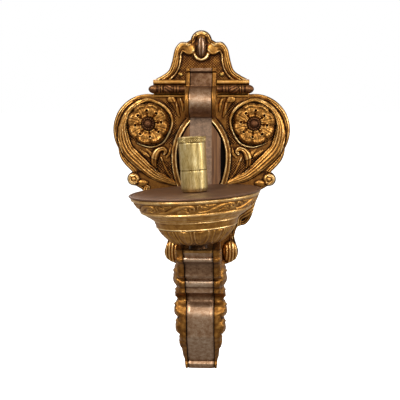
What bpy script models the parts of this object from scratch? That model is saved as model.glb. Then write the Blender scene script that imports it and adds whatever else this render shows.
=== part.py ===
"""Wall sconce candle holder: a pierced metal cartouche on a wooden board, a wooden bracket with metal
bands and cheeks, and a turning drip cup with a lift-off candle socket.

Metres. The wall is the plane Y = 0, the sconce stands out towards -Y, and +Z is up. Outlines are
drawn in (x, z) on the wall, side profiles in (out, z), where out is the distance from the wall.
"""
import math

import bmesh
import bpy
from mathutils import Matrix, Vector

MM = 0.001
GAP = 0.3 * MM

# Cartouche plate and its board
PLATE_DEPTH = 12 * MM
PLATE_SHEET = 2 * MM
BOARD_PLAY = 0.4 * MM
CREST_TOP = 177.7 * MM
CREST_RADIUS = 11 * MM
CORNICE_HALF = 49.9 * MM
CORNICE_Z = 117.3 * MM
HEART_INNER = 17.4 * MM
HEART_Z = 75 * MM
HEART_RADIUS = 37.6 * MM
KNOB_SHIFT = 16.2 * MM
KNOB_Z = 23.6 * MM
KNOB_RADIUS = 7.2 * MM
WAIST_HALF = 35.3 * MM
WAIST_Z = -36.9 * MM
PLATE_BOTTOM = -70 * MM

# Opening that the bracket stands in
OPENING_HALF = 25.5 * MM
OPENING_WIDE_Z = 47 * MM
OPENING_TOP = 92 * MM
OPENING_BOTTOM = -10 * MM
OPENING_PLAY = 1.5 * MM
BOSS_HALF = 0.79 * OPENING_HALF
RIM_WIDTH = 5.5 * MM
RIM_RISE = 3 * MM

# Raised work on the plate
SCROLL_RADIUS = 3.5 * MM
LEDGE_RISE = 5 * MM
ROLL_RADIUS = 4.5 * MM
ROLL_REACH = 54.6 * MM
ROSETTE_Z = 81.7 * MM
ROSETTE_RADIUS = 21 * MM
ROSETTE_HUB = 13 * MM
ROSETTE_THICK = 4 * MM
PETALS = 12
SEED_RADIUS = 6.5 * MM
PIN_RADIUS = 1.6 * MM
BEAD_Z = 161 * MM
BEAD_HALF = (4 * MM, 3.4 * MM, 10 * MM)

# Bracket: upper scroll
UPPER_TOP = 138.6 * MM
UPPER_HALF = 11 * MM
UPPER_CHEEK = 4 * MM
ROLL_OUT = 30 * MM
ROLL_Z = 104 * MM
SCROLL_ROLL = 16 * MM
NECK_OUT = 17 * MM
CAP_OUT = 20 * MM
CAP_RISE = 3.2 * MM
BAND_SHEET = 1.6 * MM
CHEEK_LINE = 0.5 * MM

# Bracket: console under the shelf
SHELF_Z = -36 * MM
SHELF_THICK = 2.3 * MM
SHELF_LIP = 9 * MM
LOWER_HALF = 14 * MM
LOWER_CHEEK = 6.2 * MM
BELLY_OUT = 44 * MM
BELLY_EDGE_Z = -138.7 * MM
CAVETTO_OUT = 75 * MM
CAVETTO_Z = -67 * MM
STEP_OUT = 60.5 * MM
STEP_Z = -87 * MM
TOE_OUT = 15 * MM
TOE_Z = -173 * MM
BRACKET_BOTTOM = -181 * MM
TOE_CHEEK = 2.5 * MM

# Cup, on an axis that leans a little to the left
CUP_OUT = 95 * MM
CUP_LEAN = math.radians(3.3)
COVER_RADIUS = 63 * MM
COVER_Z = 18 * MM
COVER_THICK = 1.6 * MM
BOWL_SHEET = 2 * MM
BOWL_FLOOR_Z = -2 * MM
BASE_TOP_RADIUS = 40.7 * MM
BASE_FOOT_Z = -29.5 * MM
FOOT_RADIUS = 10 * MM
FOOT_STAND = 0.9 * MM
ROD_RADIUS = 3 * MM
ROD_GRIP = 8 * MM

# Candle socket
SOCKET_BORE = 11.25 * MM
SOCKET_WALL = 1.5 * MM
SOCKET_HEIGHT = 51.5 * MM
SOCKET_FLOOR = 9 * MM
FLOOR_THICK = 1.2 * MM
COLLAR_HEIGHT = 5 * MM
COLLAR_RISE = 0.85 * MM
COLLAR_SEAT = 0.6 * MM

# Fasteners
SCREW_RADIUS = 2 * MM
SCREW_HEAD = 4.5 * MM
SCREW_LENGTH = 26 * MM
BRACKET_SCREW_Z = (66 * MM, 12 * MM)
HANGER_Z = 147 * MM
HANGER_SIZE = (36 * MM, 14 * MM, 1.6 * MM)
HANGER_HOLE_X = 14 * MM

HEART_X = HEART_INNER + HEART_RADIUS
ROSETTE_X = HEART_X - 0.2 * MM
KNOB_X = HEART_X + KNOB_SHIFT
SOCKET_RADIUS = SOCKET_BORE + SOCKET_WALL
COLLAR_RADIUS = SOCKET_RADIUS + COLLAR_RISE
BOARD_INSET = PLATE_SHEET + BOARD_PLAY
BOARD_FACE = PLATE_DEPTH - PLATE_SHEET - BOARD_PLAY
PLATE_FACE = PLATE_DEPTH + GAP
RIM_FACE = PLATE_DEPTH + RIM_RISE + GAP
SHELF_FRONT = CUP_OUT + SHELF_LIP
CONSOLE_TOP = SHELF_Z - SHELF_THICK - GAP


# ---------------------------------------------------------------- collections and materials

def new_collection(name):
    """A collection linked under the scene."""
    group = bpy.data.collections.new(name)
    bpy.context.scene.collection.children.link(group)
    return group


def material(name, colour, metallic, roughness):
    """A Principled material from a colour, metallic value and roughness."""
    shade = bpy.data.materials.new(name)
    shade.use_nodes = True
    shader = shade.node_tree.nodes["Principled BSDF"]
    shader.inputs["Base Color"].default_value = (*colour, 1)
    shader.inputs["Metallic"].default_value = metallic
    shader.inputs["Roughness"].default_value = roughness
    return shade


for leftover in list(bpy.data.objects):
    bpy.data.objects.remove(leftover, do_unlink=True)

SCONCE = new_collection("wall_sconce")
CUTTERS = new_collection("cutters")

FINISHES = {
    "gilt": material("gilt_brass", (0.35, 0.2, 0.06), 1.0, 0.38),
    "bronze": material("brown_bronze", (0.16, 0.1, 0.06), 0.9, 0.45),
    "cover": material("copper_brown", (0.18, 0.1, 0.07), 0.8, 0.5),
    "brass": material("bright_brass", (0.5, 0.36, 0.13), 1.0, 0.3),
    "steel": material("dull_steel", (0.3, 0.3, 0.3), 1.0, 0.4),
    "wood": material("stained_wood", (0.2, 0.09, 0.035), 0.0, 0.6),
}


# ---------------------------------------------------------------- outlines

def arc(centre, radius, start, end, steps):
    """Points on a circle from one angle to another, in degrees."""
    angles = [math.radians(start + (end - start) * i / steps) for i in range(steps + 1)]
    return [(centre[0] + radius * math.cos(a), centre[1] + radius * math.sin(a)) for a in angles]


def hollow_arc(start, end, steps):
    """A quarter ellipse that leaves the first point level and reaches the second upright."""
    turns = [math.radians(90 * i / steps) for i in range(steps + 1)]
    return [(start[0] + (end[0] - start[0]) * math.sin(t), end[1] + (start[1] - end[1]) * math.cos(t))
            for t in turns]


def smooth(points, steps):
    """A curve through the points, with the given steps in each span."""
    path = [points[0]] + list(points) + [points[-1]]
    curve = []
    for i in range(1, len(path) - 2):
        before, start, end, after = (Vector(p) for p in path[i - 1:i + 3])
        for k in range(steps):
            t = k / steps
            spot = 0.5 * (2 * start + (end - before) * t
                          + (2 * before - 5 * start + 4 * end - after) * t ** 2
                          + (3 * start - before - 3 * end + after) * t ** 3)
            curve.append(tuple(spot))
    return curve + [tuple(points[-1])]


def mirrored(half):
    """A closed outline from its right half, which starts and ends on the middle line."""
    return list(half) + [(-x, z) for x, z in reversed(half[1:-1])]


def shifted(points, distance):
    """A path moved to the right of its direction by a distance, with mitred corners."""
    moved = []
    for i, spot in enumerate(points):
        here = Vector(spot)
        along = here - Vector(points[max(i - 1, 0)])
        onward = Vector(points[min(i + 1, len(points) - 1)]) - here
        along = (along if i else onward).normalized()
        onward = (onward if i < len(points) - 1 else along).normalized()
        share = max(1 + along.dot(onward), 0.1)
        moved.append(tuple(here + Vector((along.y + onward.y, -along.x - onward.x)) * distance / share))
    return moved


def inset(outline, distance):
    """A closed clockwise outline moved inward by a distance."""
    ring = shifted([outline[-1]] + list(outline) + [outline[0]], distance)
    return ring[1:-1]


def plate_outline():
    """The cartouche: crest dome, ears, cornice, heart lobes, knobs, waist and foot."""
    crest = (0, CREST_TOP - CREST_RADIUS)
    half = arc(crest, CREST_RADIUS, 90, 8, 6)
    ear = [(15, -0.9), (21.9, -1.2), (27.1, -7.3), (29.1, -14.4), (30.7, -21.5), (34.0, -30.2), (41.6, -35.8)]
    half += smooth([(x * MM, crest[1] + z * MM) for x, z in ear], 2)
    half += [(CORNICE_HALF, CORNICE_Z + 9.5 * MM), (CORNICE_HALF, CORNICE_Z + 1 * MM)]
    half += arc((HEART_X, HEART_Z), HEART_RADIUS, 98, -30, 22)
    half += [(HEART_X + 0.83 * HEART_RADIUS, HEART_Z - 0.745 * HEART_RADIUS),
             (HEART_X + 0.66 * HEART_RADIUS, HEART_Z - 0.99 * HEART_RADIUS)]
    half += arc((KNOB_X, KNOB_Z), KNOB_RADIUS, 78, -100, 8)
    lobe = [(27.2, 49), (22.2, 36.7), (20.2, 29.9), (17.1, 19.5), (11.2, 12.3), (3, 9.8), (0, 0),
            (1, -7.2), (4.1, -16.7), (1, -24.8), (-7.3, -30)]
    half += smooth([(WAIST_HALF + x * MM, WAIST_Z + z * MM) for x, z in lobe], 2)
    half += [(WAIST_HALF - 14.3 * MM, PLATE_BOTTOM + 1 * MM), (0, PLATE_BOTTOM)]
    return mirrored([(0, CREST_TOP)] + half[1:])


def opening_outline():
    """A pointed oval: two arcs a side, widest between the tips."""
    half = []
    for tip, ends in ((OPENING_TOP, (1, 0)), (OPENING_BOTTOM, (0, 1))):
        reach = tip - OPENING_WIDE_Z
        shift = (reach ** 2 - OPENING_HALF ** 2) / (2 * OPENING_HALF)
        sweep = math.degrees(math.asin(reach / (OPENING_HALF + shift)))
        part = arc((-shift, OPENING_WIDE_Z), OPENING_HALF + shift, ends[0] * sweep, ends[1] * sweep, 8)
        half += part[1:] if half else part
    return mirrored([(0, OPENING_TOP)] + half[1:-1] + [(0, OPENING_BOTTOM)])


def upper_face():
    """Front of the upper scroll in (out, z): cap ledge, neck and roll, down to the column."""
    cap = [(CAP_OUT, UPPER_TOP), (CAP_OUT, UPPER_TOP - CAP_RISE), (NECK_OUT, UPPER_TOP - CAP_RISE - 1.4 * MM)]
    neck = [(NECK_OUT, ROLL_Z + SCROLL_ROLL + 1 * MM)]
    return cap + neck + arc((ROLL_OUT, ROLL_Z), SCROLL_ROLL, 128, -88, 22)


def upper_core():
    """The wood behind the upper band: a plain neck and a smaller roll."""
    behind = NECK_OUT - BAND_SHEET - GAP
    inner = SCROLL_ROLL - BAND_SHEET - GAP
    neck = [(behind, UPPER_TOP), (behind, ROLL_Z + SCROLL_ROLL - 1 * MM)]
    return neck + arc((ROLL_OUT, ROLL_Z), inner, 128, -88, 22)


def lower_face():
    """Front of the console in (out, z): two beads with a hollow between, a step, the belly and the toe."""
    face = [(SHELF_FRONT - 2 * MM, CONSOLE_TOP), (SHELF_FRONT - 3.6 * MM, CONSOLE_TOP - 4 * MM)]
    face += arc((SHELF_FRONT - 4.6 * MM, CONSOLE_TOP - 6.8 * MM), 2.6 * MM, 70, -60, 6)
    face += hollow_arc((SHELF_FRONT - 7 * MM, CONSOLE_TOP - 10 * MM), (CAVETTO_OUT, CAVETTO_Z), 7)
    face += [(CAVETTO_OUT - 3 * MM, CAVETTO_Z - 2.5 * MM), (STEP_OUT + 4 * MM, CAVETTO_Z - 4.5 * MM)]
    face += arc((STEP_OUT + 1.5 * MM, STEP_Z + 10.5 * MM), 4.5 * MM, 60, -70, 6)
    face += [(STEP_OUT, STEP_Z + 4.5 * MM), (STEP_OUT, STEP_Z)]
    belly = [(BELLY_OUT + 10 * MM, STEP_Z - 2 * MM), (BELLY_OUT - 3 * MM, STEP_Z - 6 * MM),
             (BELLY_OUT - 8 * MM, STEP_Z - 13 * MM), (BELLY_OUT - 3 * MM, STEP_Z - 21 * MM),
             (BELLY_OUT, STEP_Z - 31 * MM), (BELLY_OUT - 2 * MM, BELLY_EDGE_Z)]
    face += smooth(belly, 3)
    return face + [(TOE_OUT, TOE_Z), (TOE_OUT + 1.5 * MM, TOE_Z - 3 * MM), (TOE_OUT, BRACKET_BOTTOM)]


def lower_core():
    """The wood behind the lower band, without the beads and fillets."""
    deep = 2.4 * MM
    face = [(SHELF_FRONT - 5.4 * MM, CONSOLE_TOP), (SHELF_FRONT - 5.4 * MM, CONSOLE_TOP - 6.4 * MM)]
    face += hollow_arc((SHELF_FRONT - 9 * MM, CONSOLE_TOP - 8 * MM), (CAVETTO_OUT - 3 * MM, CAVETTO_Z + 1 * MM), 5)
    face += [(STEP_OUT - 1 * MM, CAVETTO_Z - 3 * MM), (STEP_OUT - deep, STEP_Z + deep)]
    belly = [(BELLY_OUT - 2 * MM, STEP_Z - 2 * MM), (BELLY_OUT - 10.6 * MM, STEP_Z - 12 * MM),
             (BELLY_OUT - 5.6 * MM, STEP_Z - 22 * MM), (BELLY_OUT - deep, STEP_Z - 31 * MM),
             (BELLY_OUT - 4.2 * MM, BELLY_EDGE_Z + 0.6 * MM)]
    face += smooth(belly, 3)
    return face + [(TOE_OUT - deep, TOE_Z), (TOE_OUT - deep, BRACKET_BOTTOM)]


def back_of_console(top):
    """The back of the console, from its toe up the wall and over the foot of the plate."""
    wall = 2 * GAP
    step = PLATE_BOTTOM - 0.8 * MM
    return [(wall, BRACKET_BOTTOM), (wall, step), (PLATE_FACE, step), (PLATE_FACE, top)]


def back_of_scroll():
    """The back of the upper scroll, which steps over the rim of the opening."""
    rim_top = max(z for _, z in inset(opening_outline(), -RIM_WIDTH)) + 2 * GAP
    return [(RIM_FACE, ROLL_Z - SCROLL_ROLL + GAP), (RIM_FACE, rim_top), (PLATE_FACE, rim_top),
            (PLATE_FACE, UPPER_TOP)]


# ---------------------------------------------------------------- solids

def clean(mesh):
    """Weld a mesh and turn its faces outward."""
    work = bmesh.new()
    work.from_mesh(mesh)
    bmesh.ops.remove_doubles(work, verts=work.verts, dist=1e-6)
    bmesh.ops.recalc_face_normals(work, faces=work.faces)
    work.to_mesh(mesh)
    work.free()


def curve_mesh(name, curve):
    """The closed mesh of a curve with its caps welded."""
    guide = bpy.data.objects.new(name + "_guide", curve)
    SCONCE.objects.link(guide)
    bpy.context.view_layer.update()
    shape = guide.evaluated_get(bpy.context.evaluated_depsgraph_get())
    mesh = bpy.data.meshes.new_from_object(shape)
    bpy.data.objects.remove(guide)
    bpy.data.curves.remove(curve)
    mesh.name = name
    clean(mesh)
    return mesh


def flat_mesh(name, loops, thickness):
    """Flat outlines, the first one solid and the others holes, given a thickness about their plane."""
    curve = bpy.data.curves.new(name, "CURVE")
    curve.dimensions = "2D"
    curve.fill_mode = "BOTH"
    curve.extrude = thickness / 2
    for loop in loops:
        spline = curve.splines.new("POLY")
        spline.points.add(len(loop) - 1)
        for point, (u, v) in zip(spline.points, loop):
            point.co = (u, v, 0, 1)
        spline.use_cyclic_u = True
    return curve_mesh(name, curve)


def add(name, mesh, finish, group=None):
    """An object with a finish, in the sconce unless another collection is named."""
    item = bpy.data.objects.new(name, mesh)
    (group or SCONCE).objects.link(item)
    if group is CUTTERS:
        item.hide_render = True
        item.display_type = "WIRE"
    if finish and mesh.name not in SEEN:
        mesh.materials.append(FINISHES[finish])
        SEEN.add(mesh.name)
    return item


def on_wall(name, loops, near, far, finish, group=None):
    """Outlines in (x, z) made solid between two distances from the wall."""
    item = add(name, flat_mesh(name, loops, far - near), finish, group)
    item.location = (0, -(near + far) / 2, 0)
    item.rotation_euler = (math.radians(90), 0, 0)
    return item


def from_side(name, loop, left, right, finish, group=None):
    """A side profile in (out, z) made solid between two places across the sconce."""
    item = add(name, flat_mesh(name, [loop], right - left), finish, group)
    item.matrix_world = Matrix(((0, 0, -1, (left + right) / 2), (-1, 0, 0, 0), (0, 1, 0, 0), (0, 0, 0, 1)))
    return item


def turned(name, profile, steps, finish, group=None):
    """A profile in (radius, height), listed down its outer side, turned about its own Z axis."""
    mesh = bpy.data.meshes.new(name)
    closed = profile[0][0] > 0
    edges = [(i, i + 1) for i in range(len(profile) - 1)] + ([(len(profile) - 1, 0)] if closed else [])
    mesh.from_pydata([(radius, 0, height) for radius, height in profile], edges, [])
    item = add(name, mesh, finish, group)
    screw = item.modifiers.new("Turn", "SCREW")
    screw.steps = screw.render_steps = steps
    screw.use_merge_vertices = True
    screw.merge_threshold = 1e-5
    screw.use_smooth_shade = True
    return item


def ball(name, centre, half, finish, group=None, segments=12):
    """An ellipsoid with its half sizes along X, Y and Z."""
    mesh = bpy.data.meshes.new(name)
    work = bmesh.new()
    bmesh.ops.create_uvsphere(work, u_segments=segments, v_segments=segments // 2, radius=1,
                              matrix=Matrix.Diagonal((*half, 1)))
    work.to_mesh(mesh)
    work.free()
    item = add(name, mesh, finish, group)
    item.location = centre
    return item


def tube(name, path, radius, finish, group=None):
    """A round moulding along a path in (x, z) at the face of the plate."""
    curve = bpy.data.curves.new(name, "CURVE")
    curve.dimensions = "3D"
    curve.bevel_depth = radius
    curve.bevel_resolution = 1
    curve.use_fill_caps = True
    spline = curve.splines.new("POLY")
    spline.points.add(len(path) - 1)
    for point, (x, z) in zip(spline.points, path):
        point.co = (x, -PLATE_DEPTH, z, 1)
    return add(name, curve_mesh(name, curve), finish, group)


def boolean(target, tool, operation):
    """Join, cut or clip a piece with another shape."""
    step = target.modifiers.new(tool.name, "BOOLEAN")
    step.operation = operation
    step.object = tool
    step.solver = "EXACT"


def bore(target, name, radius, near, far, x, z):
    """A round hole towards the wall, between two distances from it."""
    cutter = turned(name, [(0, far), (radius, far), (radius, near), (0, near)], 12, None, CUTTERS)
    cutter.location = (x, 0, z)
    cutter.rotation_euler = (math.radians(90), 0, 0)
    boolean(target, cutter, "DIFFERENCE")
    return cutter


def fastener(name, profile, x, z, finish):
    """A turned screw or pin whose profile heights are distances from the wall."""
    item = turned(name, profile, 12, finish)
    item.location = (x, 0, z)
    item.rotation_euler = (math.radians(90), 0, 0)
    return item


SEEN = set()
SIDES = (("left", -1), ("right", 1))


# ---------------------------------------------------------------- cartouche plate and board

def scroll_path(side):
    """The heart moulding: up the outer side, over the top and round under the rosette."""
    ring = HEART_RADIUS - 8 * MM
    path = smooth([(0.55 * HEART_X, KNOB_Z - 5 * MM), (0.95 * HEART_X, KNOB_Z + 2 * MM),
                   (HEART_X + 0.5 * ring, HEART_Z - 0.98 * ring)], 3)
    path += arc((HEART_X, HEART_Z), ring, -36, 150, 18)
    path += arc((ROSETTE_X, ROSETTE_Z), ring - 3.5 * MM, 196, 268, 6)
    return [(side * x, z) for x, z in path]


def cartouche_plate():
    """A pierced tray with a turned-back edge, a raised rim, cornice ledges and heart mouldings."""
    outline = plate_outline()
    opening = opening_outline()
    plate = on_wall("cartouche_plate", [outline, opening], GAP, PLATE_DEPTH, "gilt")
    pocket = on_wall("plate_pocket", [inset(outline, PLATE_SHEET)], -5 * MM, PLATE_DEPTH - PLATE_SHEET, None,
                     CUTTERS)
    rim = on_wall("plate_rim", [inset(opening, -RIM_WIDTH), opening], PLATE_DEPTH - 1 * MM,
                  PLATE_DEPTH + RIM_RISE, None, CUTTERS)
    extras = [rim]
    inner = UPPER_HALF + CHEEK_LINE + UPPER_CHEEK + 0.6 * MM
    ledge_low = CORNICE_Z + ROLL_RADIUS + 2 * GAP
    for word, side in SIDES:
        for part, low, high, rise in (("ledge", ledge_low, ledge_low + 4.6 * MM, LEDGE_RISE),
                                      ("fillet", CORNICE_Z - 7.3 * MM, CORNICE_Z - 5.2 * MM, 2.5 * MM)):
            ends = sorted((side * inner, side * (CORNICE_HALF - 0.4 * MM)))
            box = [(ends[0], low), (ends[0], high), (ends[1], high), (ends[1], low)]
            extras.append(on_wall(f"{part}_{word}", [box], PLATE_DEPTH - 1 * MM, PLATE_DEPTH + rise, None, CUTTERS))
        extras.append(tube(f"heart_{word}", scroll_path(side), SCROLL_RADIUS, None, CUTTERS))
        for part, x, z, half in (("bud", 0.79 * HEART_X, 0.55 * HEART_Z, (6.5, 6, 14)),
                                 ("knob", KNOB_X - 1 * MM, KNOB_Z, (4.5, 3.5, 4.5)),
                                 ("lobe", WAIST_HALF + 11 * MM, WAIST_Z + 34 * MM, (9, 4, 11)),
                                 ("volute", WAIST_HALF - 3 * MM, WAIST_Z - 17 * MM, (6, 3, 8))):
            size = tuple(h * MM for h in half)
            extras.append(ball(f"{part}_{word}", (side * x, -PLATE_DEPTH + 0.7 * MM, z), size, None, CUTTERS))
    for extra in extras:
        boolean(plate, extra, "UNION")
    boolean(plate, pocket, "DIFFERENCE")
    return plate


def back_board():
    """A wooden board that fills the tray, with its back on the wall and a recess for the hanger."""
    board = on_wall("back_board", [inset(plate_outline(), BOARD_INSET)], 0, BOARD_FACE, "wood")
    wide, high, thick = HANGER_SIZE
    half = (wide / 2 + 0.5 * MM, high / 2 + 0.5 * MM)
    box = [(-half[0], HANGER_Z - half[1]), (-half[0], HANGER_Z + half[1]),
           (half[0], HANGER_Z + half[1]), (half[0], HANGER_Z - half[1])]
    recess = on_wall("hanger_recess", [box], -5 * MM, thick + 2 * GAP, None, CUTTERS)
    boolean(board, recess, "DIFFERENCE")
    bore(board, "keyhole_room", 5 * MM, -5 * MM, 6 * MM, 0, HANGER_Z)
    return board


def hanger(board):
    """A keyhole hanger plate let into the back of the board, with its two screws."""
    wide, high, thick = HANGER_SIZE
    outline = [(-wide / 2, HANGER_Z - high / 2), (-wide / 2, HANGER_Z + high / 2),
               (wide / 2, HANGER_Z + high / 2), (wide / 2, HANGER_Z - high / 2)]
    slot = 1.9 * MM
    eye = 4 * MM
    keyhole = arc((0, HANGER_Z - 1.5 * MM), eye, 118, 422, 16)
    keyhole += arc((0, HANGER_Z + 4 * MM), slot, 0, 180, 6)
    holes = [arc((side * HANGER_HOLE_X, HANGER_Z), 1.5 * MM + GAP, 0, 330, 11) for _, side in SIDES]
    plate = on_wall("hanger_plate", [outline, keyhole] + holes, GAP, GAP + thick, "steel")
    for number, (_, side) in enumerate(SIDES, 1):
        x = side * HANGER_HOLE_X
        reach = BOARD_FACE - 1 * MM
        head = thick + 2 * GAP
        profile = [(0, reach), (1.5 * MM, reach - 1.5 * MM), (1.5 * MM, head - 0.1 * MM), (1.5 * MM, GAP),
                   (0, GAP)]
        fastener(f"hanger_screw_{number}", profile, x, HANGER_Z, "steel")
        bore(board, f"hanger_bore_{number}", 1.5 * MM + GAP, -5 * MM, reach + GAP, x, HANGER_Z)
    return plate


def plate_pins(plate, board):
    """Four domed pins that hold the plate to its board, in the crest and by the lower volutes."""
    beside = LOWER_HALF + CHEEK_LINE + LOWER_CHEEK + 3.6 * MM
    spots = ((UPPER_HALF + CHEEK_LINE + UPPER_CHEEK + 5.4 * MM, CORNICE_Z + 15 * MM), (beside, WAIST_Z + 1 * MM))
    number = 0
    for x, z in spots:
        for _, side in SIDES:
            number += 1
            head = PLATE_DEPTH + GAP
            profile = [(0, head + 1.8 * MM), (1.3 * MM, head + 1.5 * MM), (2.2 * MM, head + 0.5 * MM),
                       (2.2 * MM, head), (0.9 * MM, head), (0.9 * MM, 3 * MM), (0, 2 * MM)]
            fastener(f"plate_pin_{number}", profile, side * x, z, "gilt")
            for piece, word, near, far in ((plate, "plate", PLATE_DEPTH - 2 * PLATE_SHEET, PLATE_DEPTH + 3 * MM),
                                           (board, "board", 2 * MM - GAP, PLATE_DEPTH)):
                bore(piece, f"{word}_pin_bore_{number}", 0.9 * MM + GAP, near, far, side * x, z)


def crest_bead():
    """A long oval bead with a flat back, set on the crest."""
    bead = ball("crest_bead", (0, -PLATE_FACE, BEAD_Z), BEAD_HALF, "bronze", segments=20)
    work = bmesh.new()
    work.from_mesh(bead.data)
    cut = bmesh.ops.bisect_plane(work, geom=work.verts[:] + work.edges[:] + work.faces[:], plane_co=(0, 0, 0),
                                 plane_no=(0, 1, 0), dist=1e-7, clear_outer=True)
    bmesh.ops.contextual_create(work, geom=[e for e in cut["geom_cut"] if isinstance(e, bmesh.types.BMEdge)])
    bmesh.ops.recalc_face_normals(work, faces=work.faces)
    work.to_mesh(bead.data)
    work.free()


def cornice_rolls():
    """Two turned rolls, one each side of the scroll, with a knob at the outer end."""
    inner = UPPER_HALF + CHEEK_LINE + UPPER_CHEEK + 0.9 * MM
    length = ROLL_REACH - inner
    full = ROLL_RADIUS
    neck = 0.62 * full
    for word, side in SIDES:
        profile = [(0, length), (0.6 * full, length - 0.3 * MM), (full, length - 2.2 * MM),
                   (0.8 * full, length - 4.2 * MM), (neck, length - 5 * MM)]
        reels = 4
        pitch = (length - 5 * MM) / reels
        for i in range(reels):
            end = length - 5 * MM - i * pitch
            profile += [(0.93 * full, end - 0.14 * pitch), (0.93 * full, end - 0.66 * pitch),
                        (neck, end - 0.78 * pitch), (neck, end - pitch + (0 if i < reels - 1 else 0.1 * MM))]
        profile += [(0, 0.1 * MM)]
        roll = turned(f"cornice_roll_{word}", profile, 12, "bronze")
        roll.location = (side * inner, -PLATE_FACE - full, CORNICE_Z)
        roll.rotation_euler = (0, side * math.radians(90), 0)


def rosettes(plate, board):
    """A petalled disc on a hub over each heart, held by a domed seed-head rivet through plate and board."""
    hub_top = PLATE_DEPTH + SCROLL_RADIUS + 2 * GAP
    face = hub_top + ROSETTE_THICK
    for word, side in SIDES:
        x = side * ROSETTE_X
        steps = 4 * PETALS
        wave = 1.6 * MM
        angles = [-2 * math.pi * i / steps for i in range(steps)]
        petals = [(x + (ROSETTE_RADIUS - wave + wave * math.cos(PETALS * a)) * math.cos(a),
                   ROSETTE_Z + (ROSETTE_RADIUS - wave + wave * math.cos(PETALS * a)) * math.sin(a))
                  for a in angles]
        rosette = on_wall(f"rosette_{word}", [petals], hub_top, face, "gilt")
        hub = on_wall(f"hub_{word}", [arc((x, ROSETTE_Z), ROSETTE_HUB, 360, 15, 23)], PLATE_FACE,
                      hub_top + 1 * MM, None, CUTTERS)
        boolean(rosette, hub, "UNION")
        head = face + GAP
        profile = [(0, head + 4.2 * MM), (0.5 * SEED_RADIUS, head + 3.7 * MM), (0.85 * SEED_RADIUS, head + 2.4 * MM),
                   (SEED_RADIUS, head + 0.8 * MM), (SEED_RADIUS, head), (PIN_RADIUS, head), (PIN_RADIUS, 3 * MM),
                   (0, 2 * MM)]
        fastener(f"rosette_pin_{word}", profile, x, ROSETTE_Z, "bronze")
        for piece, label, near, far in ((rosette, "rosette", PLATE_DEPTH - 1 * MM, face + 2 * MM),
                                        (plate, "plate", PLATE_DEPTH - 2 * PLATE_SHEET, PLATE_DEPTH + 5 * MM),
                                        (board, "board", 2 * MM - GAP, PLATE_DEPTH)):
            bore(piece, f"{label}_rivet_bore_{word}", PIN_RADIUS + GAP, near, far, x, ROSETTE_Z)


# ---------------------------------------------------------------- bracket

def bracket_core():
    """The wooden bracket: scroll block, column with flared sides in the opening, and console block."""
    wood = LOWER_HALF - GAP
    console = lower_core() + back_of_console(CONSOLE_TOP)
    core = from_side("bracket_core", console, -wood, wood, "wood")
    scroll_back = [(RIM_FACE, ROLL_Z - SCROLL_ROLL - 8 * MM)] + back_of_scroll()[1:]
    scroll = from_side("scroll_block", upper_core() + [(ROLL_OUT, ROLL_Z - SCROLL_ROLL - 8 * MM)] + scroll_back,
                       -UPPER_HALF, UPPER_HALF, None, CUTTERS)
    boss_outline = [(max(-BOSS_HALF, min(BOSS_HALF, x)), z) for x, z in inset(opening_outline(), OPENING_PLAY)]
    flare_top = ROLL_Z - SCROLL_ROLL - GAP
    foot = BOSS_HALF - 0.4 * MM
    section = [(-foot, RIM_FACE), (-UPPER_HALF, ROLL_OUT), (UPPER_HALF, ROLL_OUT), (foot, RIM_FACE)]
    height = flare_top + 30 * MM
    flare = add("column_flare", flat_mesh("column_flare", [section], height), None, CUTTERS)
    flare.matrix_world = Matrix(((1, 0, 0, 0), (0, -1, 0, 0), (0, 0, 1, flare_top - height / 2), (0, 0, 0, 1)))
    clip = on_wall("column_clip", [boss_outline], RIM_FACE - 5 * MM, ROLL_OUT + 5 * MM, None, CUTTERS)
    boolean(flare, clip, "INTERSECT")
    boss = on_wall("column_boss", [boss_outline], BOARD_FACE + GAP, RIM_FACE + 2 * MM, None, CUTTERS)
    slab = [(-UPPER_HALF + 0.02 * MM, CONSOLE_TOP - 3 * MM), (-UPPER_HALF + 0.02 * MM, ROLL_Z),
            (UPPER_HALF - 0.02 * MM, ROLL_Z), (UPPER_HALF - 0.02 * MM, CONSOLE_TOP - 3 * MM)]
    column = on_wall("column_slab", [slab], RIM_FACE + 0.05 * MM, ROLL_OUT - 0.02 * MM, None, CUTTERS)
    for piece in (column, flare, boss, scroll):
        boolean(core, piece, "UNION")
    return core


def bands():
    """Sheet strips over the fronts of the scroll and of the console."""
    half = UPPER_HALF
    behind = shifted(upper_core(), -GAP)
    from_side("upper_band", upper_face() + behind[::-1], -half, half, "bronze")
    behind = shifted(lower_core(), -GAP)
    from_side("lower_band", lower_face() + behind[::-1], -LOWER_HALF, LOWER_HALF, "bronze")


def taper(item, straight):
    """Draw the outer side of a console cheek inward below the belly, down to the toe."""
    mesh = item.data
    work = bmesh.new()
    work.from_mesh(mesh)
    work.transform(item.matrix_world)
    bmesh.ops.bisect_plane(work, geom=work.verts[:] + work.edges[:] + work.faces[:],
                           plane_co=(0, 0, BELLY_EDGE_Z), plane_no=(0, 0, 1), dist=1e-7)
    for vertex in work.verts:
        fall = (BELLY_EDGE_Z - vertex.co.z) / (BELLY_EDGE_Z - BRACKET_BOTTOM)
        if fall > 0 and abs(vertex.co.x) > straight:
            vertex.co.x -= math.copysign(fall * (LOWER_CHEEK - TOE_CHEEK), vertex.co.x)
    work.to_mesh(mesh)
    work.free()
    item.matrix_world = Matrix.Identity(4)


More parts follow.
